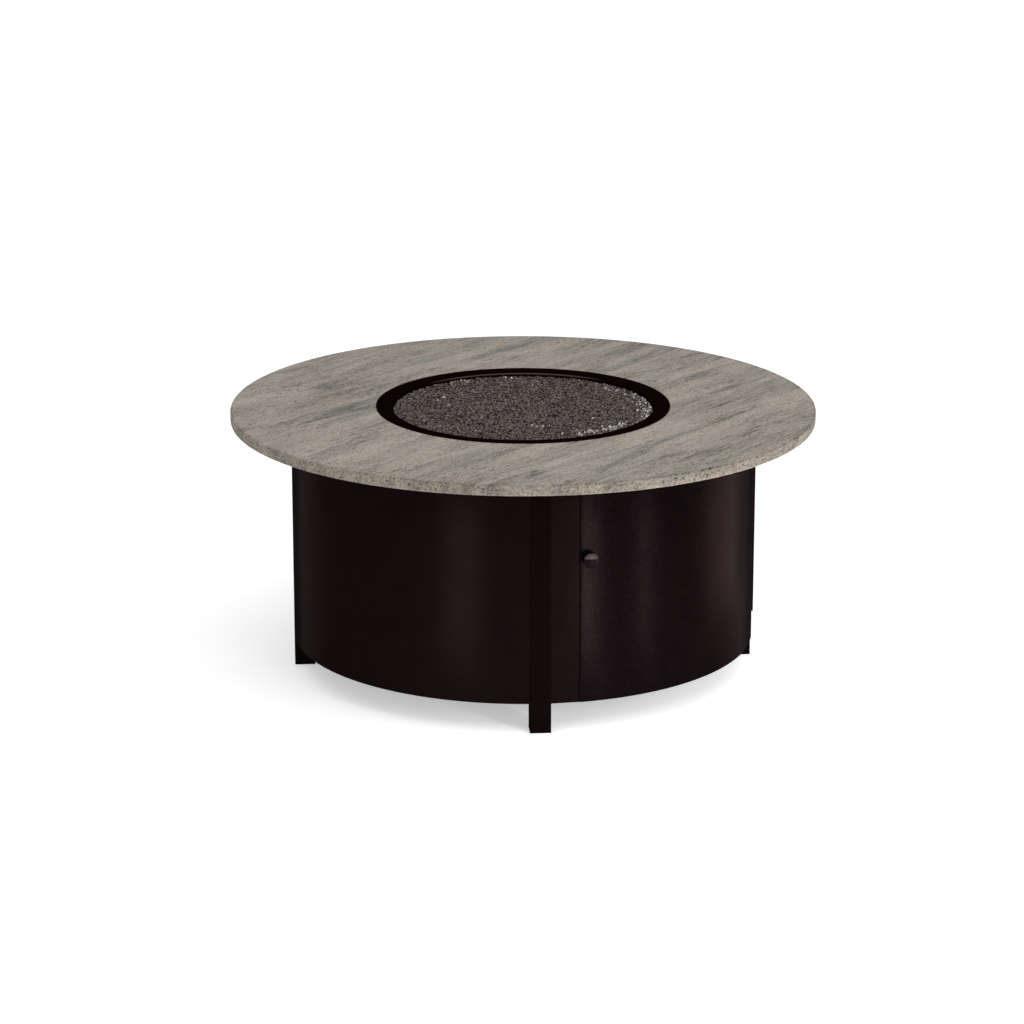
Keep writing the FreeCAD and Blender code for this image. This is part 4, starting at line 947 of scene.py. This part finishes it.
@dataclass
class DoorEdge:
    """The thin lip on the door's free edge, which laps over its seam to the fixed strip.

    Its outer face lies a hair inside the skins' radius, and it is trimmed at both ends.
    """

    angle: float = math.radians(9.55)
    radius: float = 544.8 * MM
    sunk: float = 0.06 * MM
    depth: float = 1.3 * MM
    over_gap: float = 3.0 * MM
    over_door: float = 3.4 * MM
    soften: float = 0.5 * MM
    trimmed: float = 0.3 * MM

    def build(self, coat: bpy.types.Material) -> None:
        """Models and dresses the lip.

        Args:
            coat: The door's coat.
        """
        lowest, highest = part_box("door_skin")
        outward = Vector((math.sin(self.angle), -math.cos(self.angle), 0.0))
        along = Vector((math.cos(self.angle), math.sin(self.angle), 0.0))
        foot = Vector((0.0, 0.0, lowest.z + self.trimmed))
        face = self.radius - self.sunk
        back = face - self.depth
        free, held = -self.over_gap, self.over_door
        lip = bmesh.new()
        corners = [
            lip.verts.new(outward * reach + along * side + foot)
            for reach, side in ((face, free), (face, held), (back, held), (back, free))
        ]
        section = lip.faces.new(corners)
        grown = bmesh.ops.extrude_face_region(lip, geom=[section])["geom"]
        tops = [item for item in grown if isinstance(item, bmesh.types.BMVert)]
        rise = highest.z - lowest.z - 2 * self.trimmed
        bmesh.ops.translate(lip, verts=tops, vec=(0.0, 0.0, rise))
        bmesh.ops.recalc_face_normals(lip, faces=lip.faces)
        upright = [edge for edge in lip.edges if edge.calc_length() > rise / 2]
        arris = min(upright, key=lambda edge: edge.verts[0].co.dot(along - outward))
        bmesh.ops.bevel(lip, geom=[arris], offset=self.soften, segments=4, profile=0.5,
                        affect="EDGES", material=-1)
        finish_piece(make_object("door_edge_lip", lip), coat, Slot.BRONZE, Body.DOOR)


@dataclass
class CarriedParts:
    """The frame's own solids, which keep their shape and take a finish by slot or by name."""

    finishes: dict[Slot, bpy.types.Material]
    coats: dict[str, bpy.types.Material]

    def dress(self) -> None:
        """Gives every solid of the frame the finish of its slot."""
        for entry in frame["record"]["subparts"]:
            part = NODES[entry["node"]]
            finish = self.coats.get(part.name, self.finishes[Slot(entry["material_slot"])])
            for slot in part.material_slots:
                slot.material = finish
        LOG.info("dressed %d solids", len(NODES))


@dataclass
class Studio:
    """A plain pale floor, soft light from above and all round, four soft boxes and the camera.

    The camera is the photograph's: its distance, height and turn round the table, and its pan
    and pitch from there. The focal length is in pixels of the square frame.
    """

    focal_px: float = 3666.5
    frame_px: float = 1024.0
    distance: float = 8.790
    azimuth: float = math.radians(-4.25)
    rise: float = math.radians(18.67)
    pan: float = math.radians(-0.178)
    pitch: float = math.radians(16.42)
    clip_end: float = 200.0
    floor_radius: float = 60.0
    floor_steps: int = 96
    surround: float = 0.72
    # Each low soft box: its angle round the table in degrees, its width and its power in watts.
    boxes: tuple[tuple[float, float, float], ...] = (
        (-22.5, 0.26, 1.4), (24.0, 0.06, 2.8), (47.0, 0.07, 1.3), (93.0, 0.5, 4.3),
    )
    box_distance: float = 1.1
    box_height: float = 0.36
    ceiling_size: float = 4.0
    ceiling_height: float = 3.2
    ceiling_forward: float = 0.6
    ceiling_power: float = 29.5
    key_angle: float = 22.0
    key_size: float = 0.5
    key_power: float = 7.0
    key_distance: float = 2.8
    key_height: float = 2.3

    def around(self, angle: float, distance: float, height: float) -> Vector:
        """A point at this angle round the table from the camera's side.

        Args:
            angle: Angle from the camera's direction towards its right, in radians.
            distance: Distance from the table's axis.
            height: Height above the floor.

        Returns:
            The point.
        """
        turned = self.azimuth + angle
        return Vector((math.sin(turned) * distance, -math.cos(turned) * distance, height))

    def build_camera(self) -> None:
        """Sets the camera where the photograph was taken from."""
        camera = bpy.data.cameras.new("camera")
        camera.sensor_fit = "HORIZONTAL"
        camera.lens = self.focal_px / self.frame_px * camera.sensor_width
        camera.clip_end = self.clip_end
        stand = bpy.data.objects.new("camera", camera)
        level = self.distance * math.cos(self.rise)
        stand.location = self.around(0.0, level, self.distance * math.sin(self.rise))
        heading = self.azimuth - self.pan
        ahead = math.cos(self.pitch)
        look = Vector((-math.sin(heading) * ahead, math.cos(heading) * ahead,
                       -math.sin(self.pitch)))
        stand.rotation_euler = look.to_track_quat("-Z", "Y").to_euler()
        bpy.context.scene.collection.objects.link(stand)
        bpy.context.scene.camera = stand

    def build_floor(self) -> None:
        """Lays the pale floor, which keeps the table's shadow."""
        disc = bmesh.new()
        bmesh.ops.create_circle(disc, cap_ends=True, segments=self.floor_steps,
                                radius=self.floor_radius)
        floor = make_object("floor", disc)
        floor.data.materials.append(PaleFloor().build())

    def build_light(self) -> None:
        """Lights the table softly from all round, with low soft boxes for its highlights."""
        world = bpy.data.worlds.new("surround")
        bpy.context.scene.world = world
        world.use_nodes = True
        tree = world.node_tree
        tree.nodes.clear()
        light = add_node(tree, "Background", {
            "Color": linear("#ffffff"), "Strength": self.surround,
        })
        add_node(tree, "OutputWorld", {"Surface": light.outputs[0]})
        self.hang("ceiling", (self.ceiling_size, self.ceiling_size), self.ceiling_power,
                  self.around(0.0, self.ceiling_forward, self.ceiling_height))
        self.hang("key", (self.key_size, self.key_size), self.key_power,
                  self.around(math.radians(self.key_angle), self.key_distance, self.key_height))
        for index, (angle, width, power) in enumerate(self.boxes):
            spot = self.around(math.radians(angle), self.box_distance, self.box_height / 2)
            self.hang(f"soft_box{index}", (width, self.box_height), power, spot)

    def hang(self, name: str, size: tuple[float, float], power: float, spot: Vector) -> None:
        """Hangs a soft box that faces the table.

        Args:
            name: The lamp's name.
            size: Width and height.
            power: Its power in watts.
            spot: Where its middle is.
        """
        lamp = bpy.data.lights.new(name, "AREA")
        lamp.shape = "RECTANGLE"
        lamp.size, lamp.size_y = size
        lamp.energy = power
        stand = bpy.data.objects.new(name, lamp)
        stand.location = spot
        aim = Vector((0.0, 0.0, self.box_height / 2)) - spot
        stand.rotation_euler = aim.to_track_quat("-Z", "Y").to_euler()
        bpy.context.scene.collection.objects.link(stand)

    def build(self) -> None:
        """Builds the whole studio."""
        self.build_camera()
        self.build_floor()
        self.build_light()
        bpy.context.scene.view_settings.view_transform = "Standard"


def make_finishes() -> dict[Slot, bpy.types.Material]:
    """Makes one finish for each slot of the record.

    Returns:
        Slot to material.
    """
    steel = Metal("stainless_steel", "#c3c1bd", "#aaa7a2", roughness=0.32, grain_mm=1.2)
    zinc = Metal("zinc_plated_steel", "#b9bcbf", "#9fa2a6", roughness=0.38, grain_mm=2.5)
    brass = Metal("machined_brass", "#c9a35a", "#b48c46", roughness=0.28, grain_mm=0.9)
    nylon = Moulding("moulded_nylon", "#1c1c1d", "#161617", roughness=0.5, grain_mm=0.8)
    rubber = Moulding("black_rubber", "#17181a", "#101112", roughness=0.75, grain_mm=1.5)
    ceramic = Moulding("glazed_ceramic", "#e9e5dc", "#ded9cf", roughness=0.18, grain_mm=6.0,
                       relief=0.03)
    made = {
        Slot.STONE: TravertineComposite(), Slot.BRONZE: BronzePowderCoat(),
        Slot.GLASS: CrushedFireGlass(), Slot.STAINLESS: steel, Slot.ZINC: zinc, Slot.BRASS: brass,
        Slot.PLASTIC: nylon, Slot.RUBBER: rubber, Slot.CERAMIC: ceramic,
    }
    return {slot: finish.build() for slot, finish in made.items()}


def make_coats() -> dict[str, bpy.types.Material]:
    """Makes the finishes of single pieces that differ from the panels' own coat.

    Returns:
        Node to material.
    """
    post = BronzePowderCoat("post_powder_coat", "#0f0909", "#0d0808").build()
    door = BronzePowderCoat("door_powder_coat", "#120c0d", "#100b0c", fleck="#c4c4c4",
                            dimple_mm=4.0, relief=0.6).build()
    bowl = BowlEnamel().build()
    knob = PaintedHighlightKnob().build()
    coats = {name: post for name in NODES if name.startswith("post_")}
    return coats | {"burner_pan": bowl, "hole_ring": post, "door_knob": knob, "door_skin": door}


def main() -> None:
    """Builds the table's looks in order."""
    logging.basicConfig(level=logging.INFO, format="%(name)s %(message)s")
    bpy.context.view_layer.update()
    finishes = make_finishes()
    coats = make_coats()
    CarriedParts(finishes, coats).dress()
    StoneTop().build(finishes[Slot.STONE])
    ChipBed().build(finishes[Slot.GLASS])
    DoorEdge().build(coats["door_skin"])
    Studio().build()


if __name__ == "__main__":
    main()
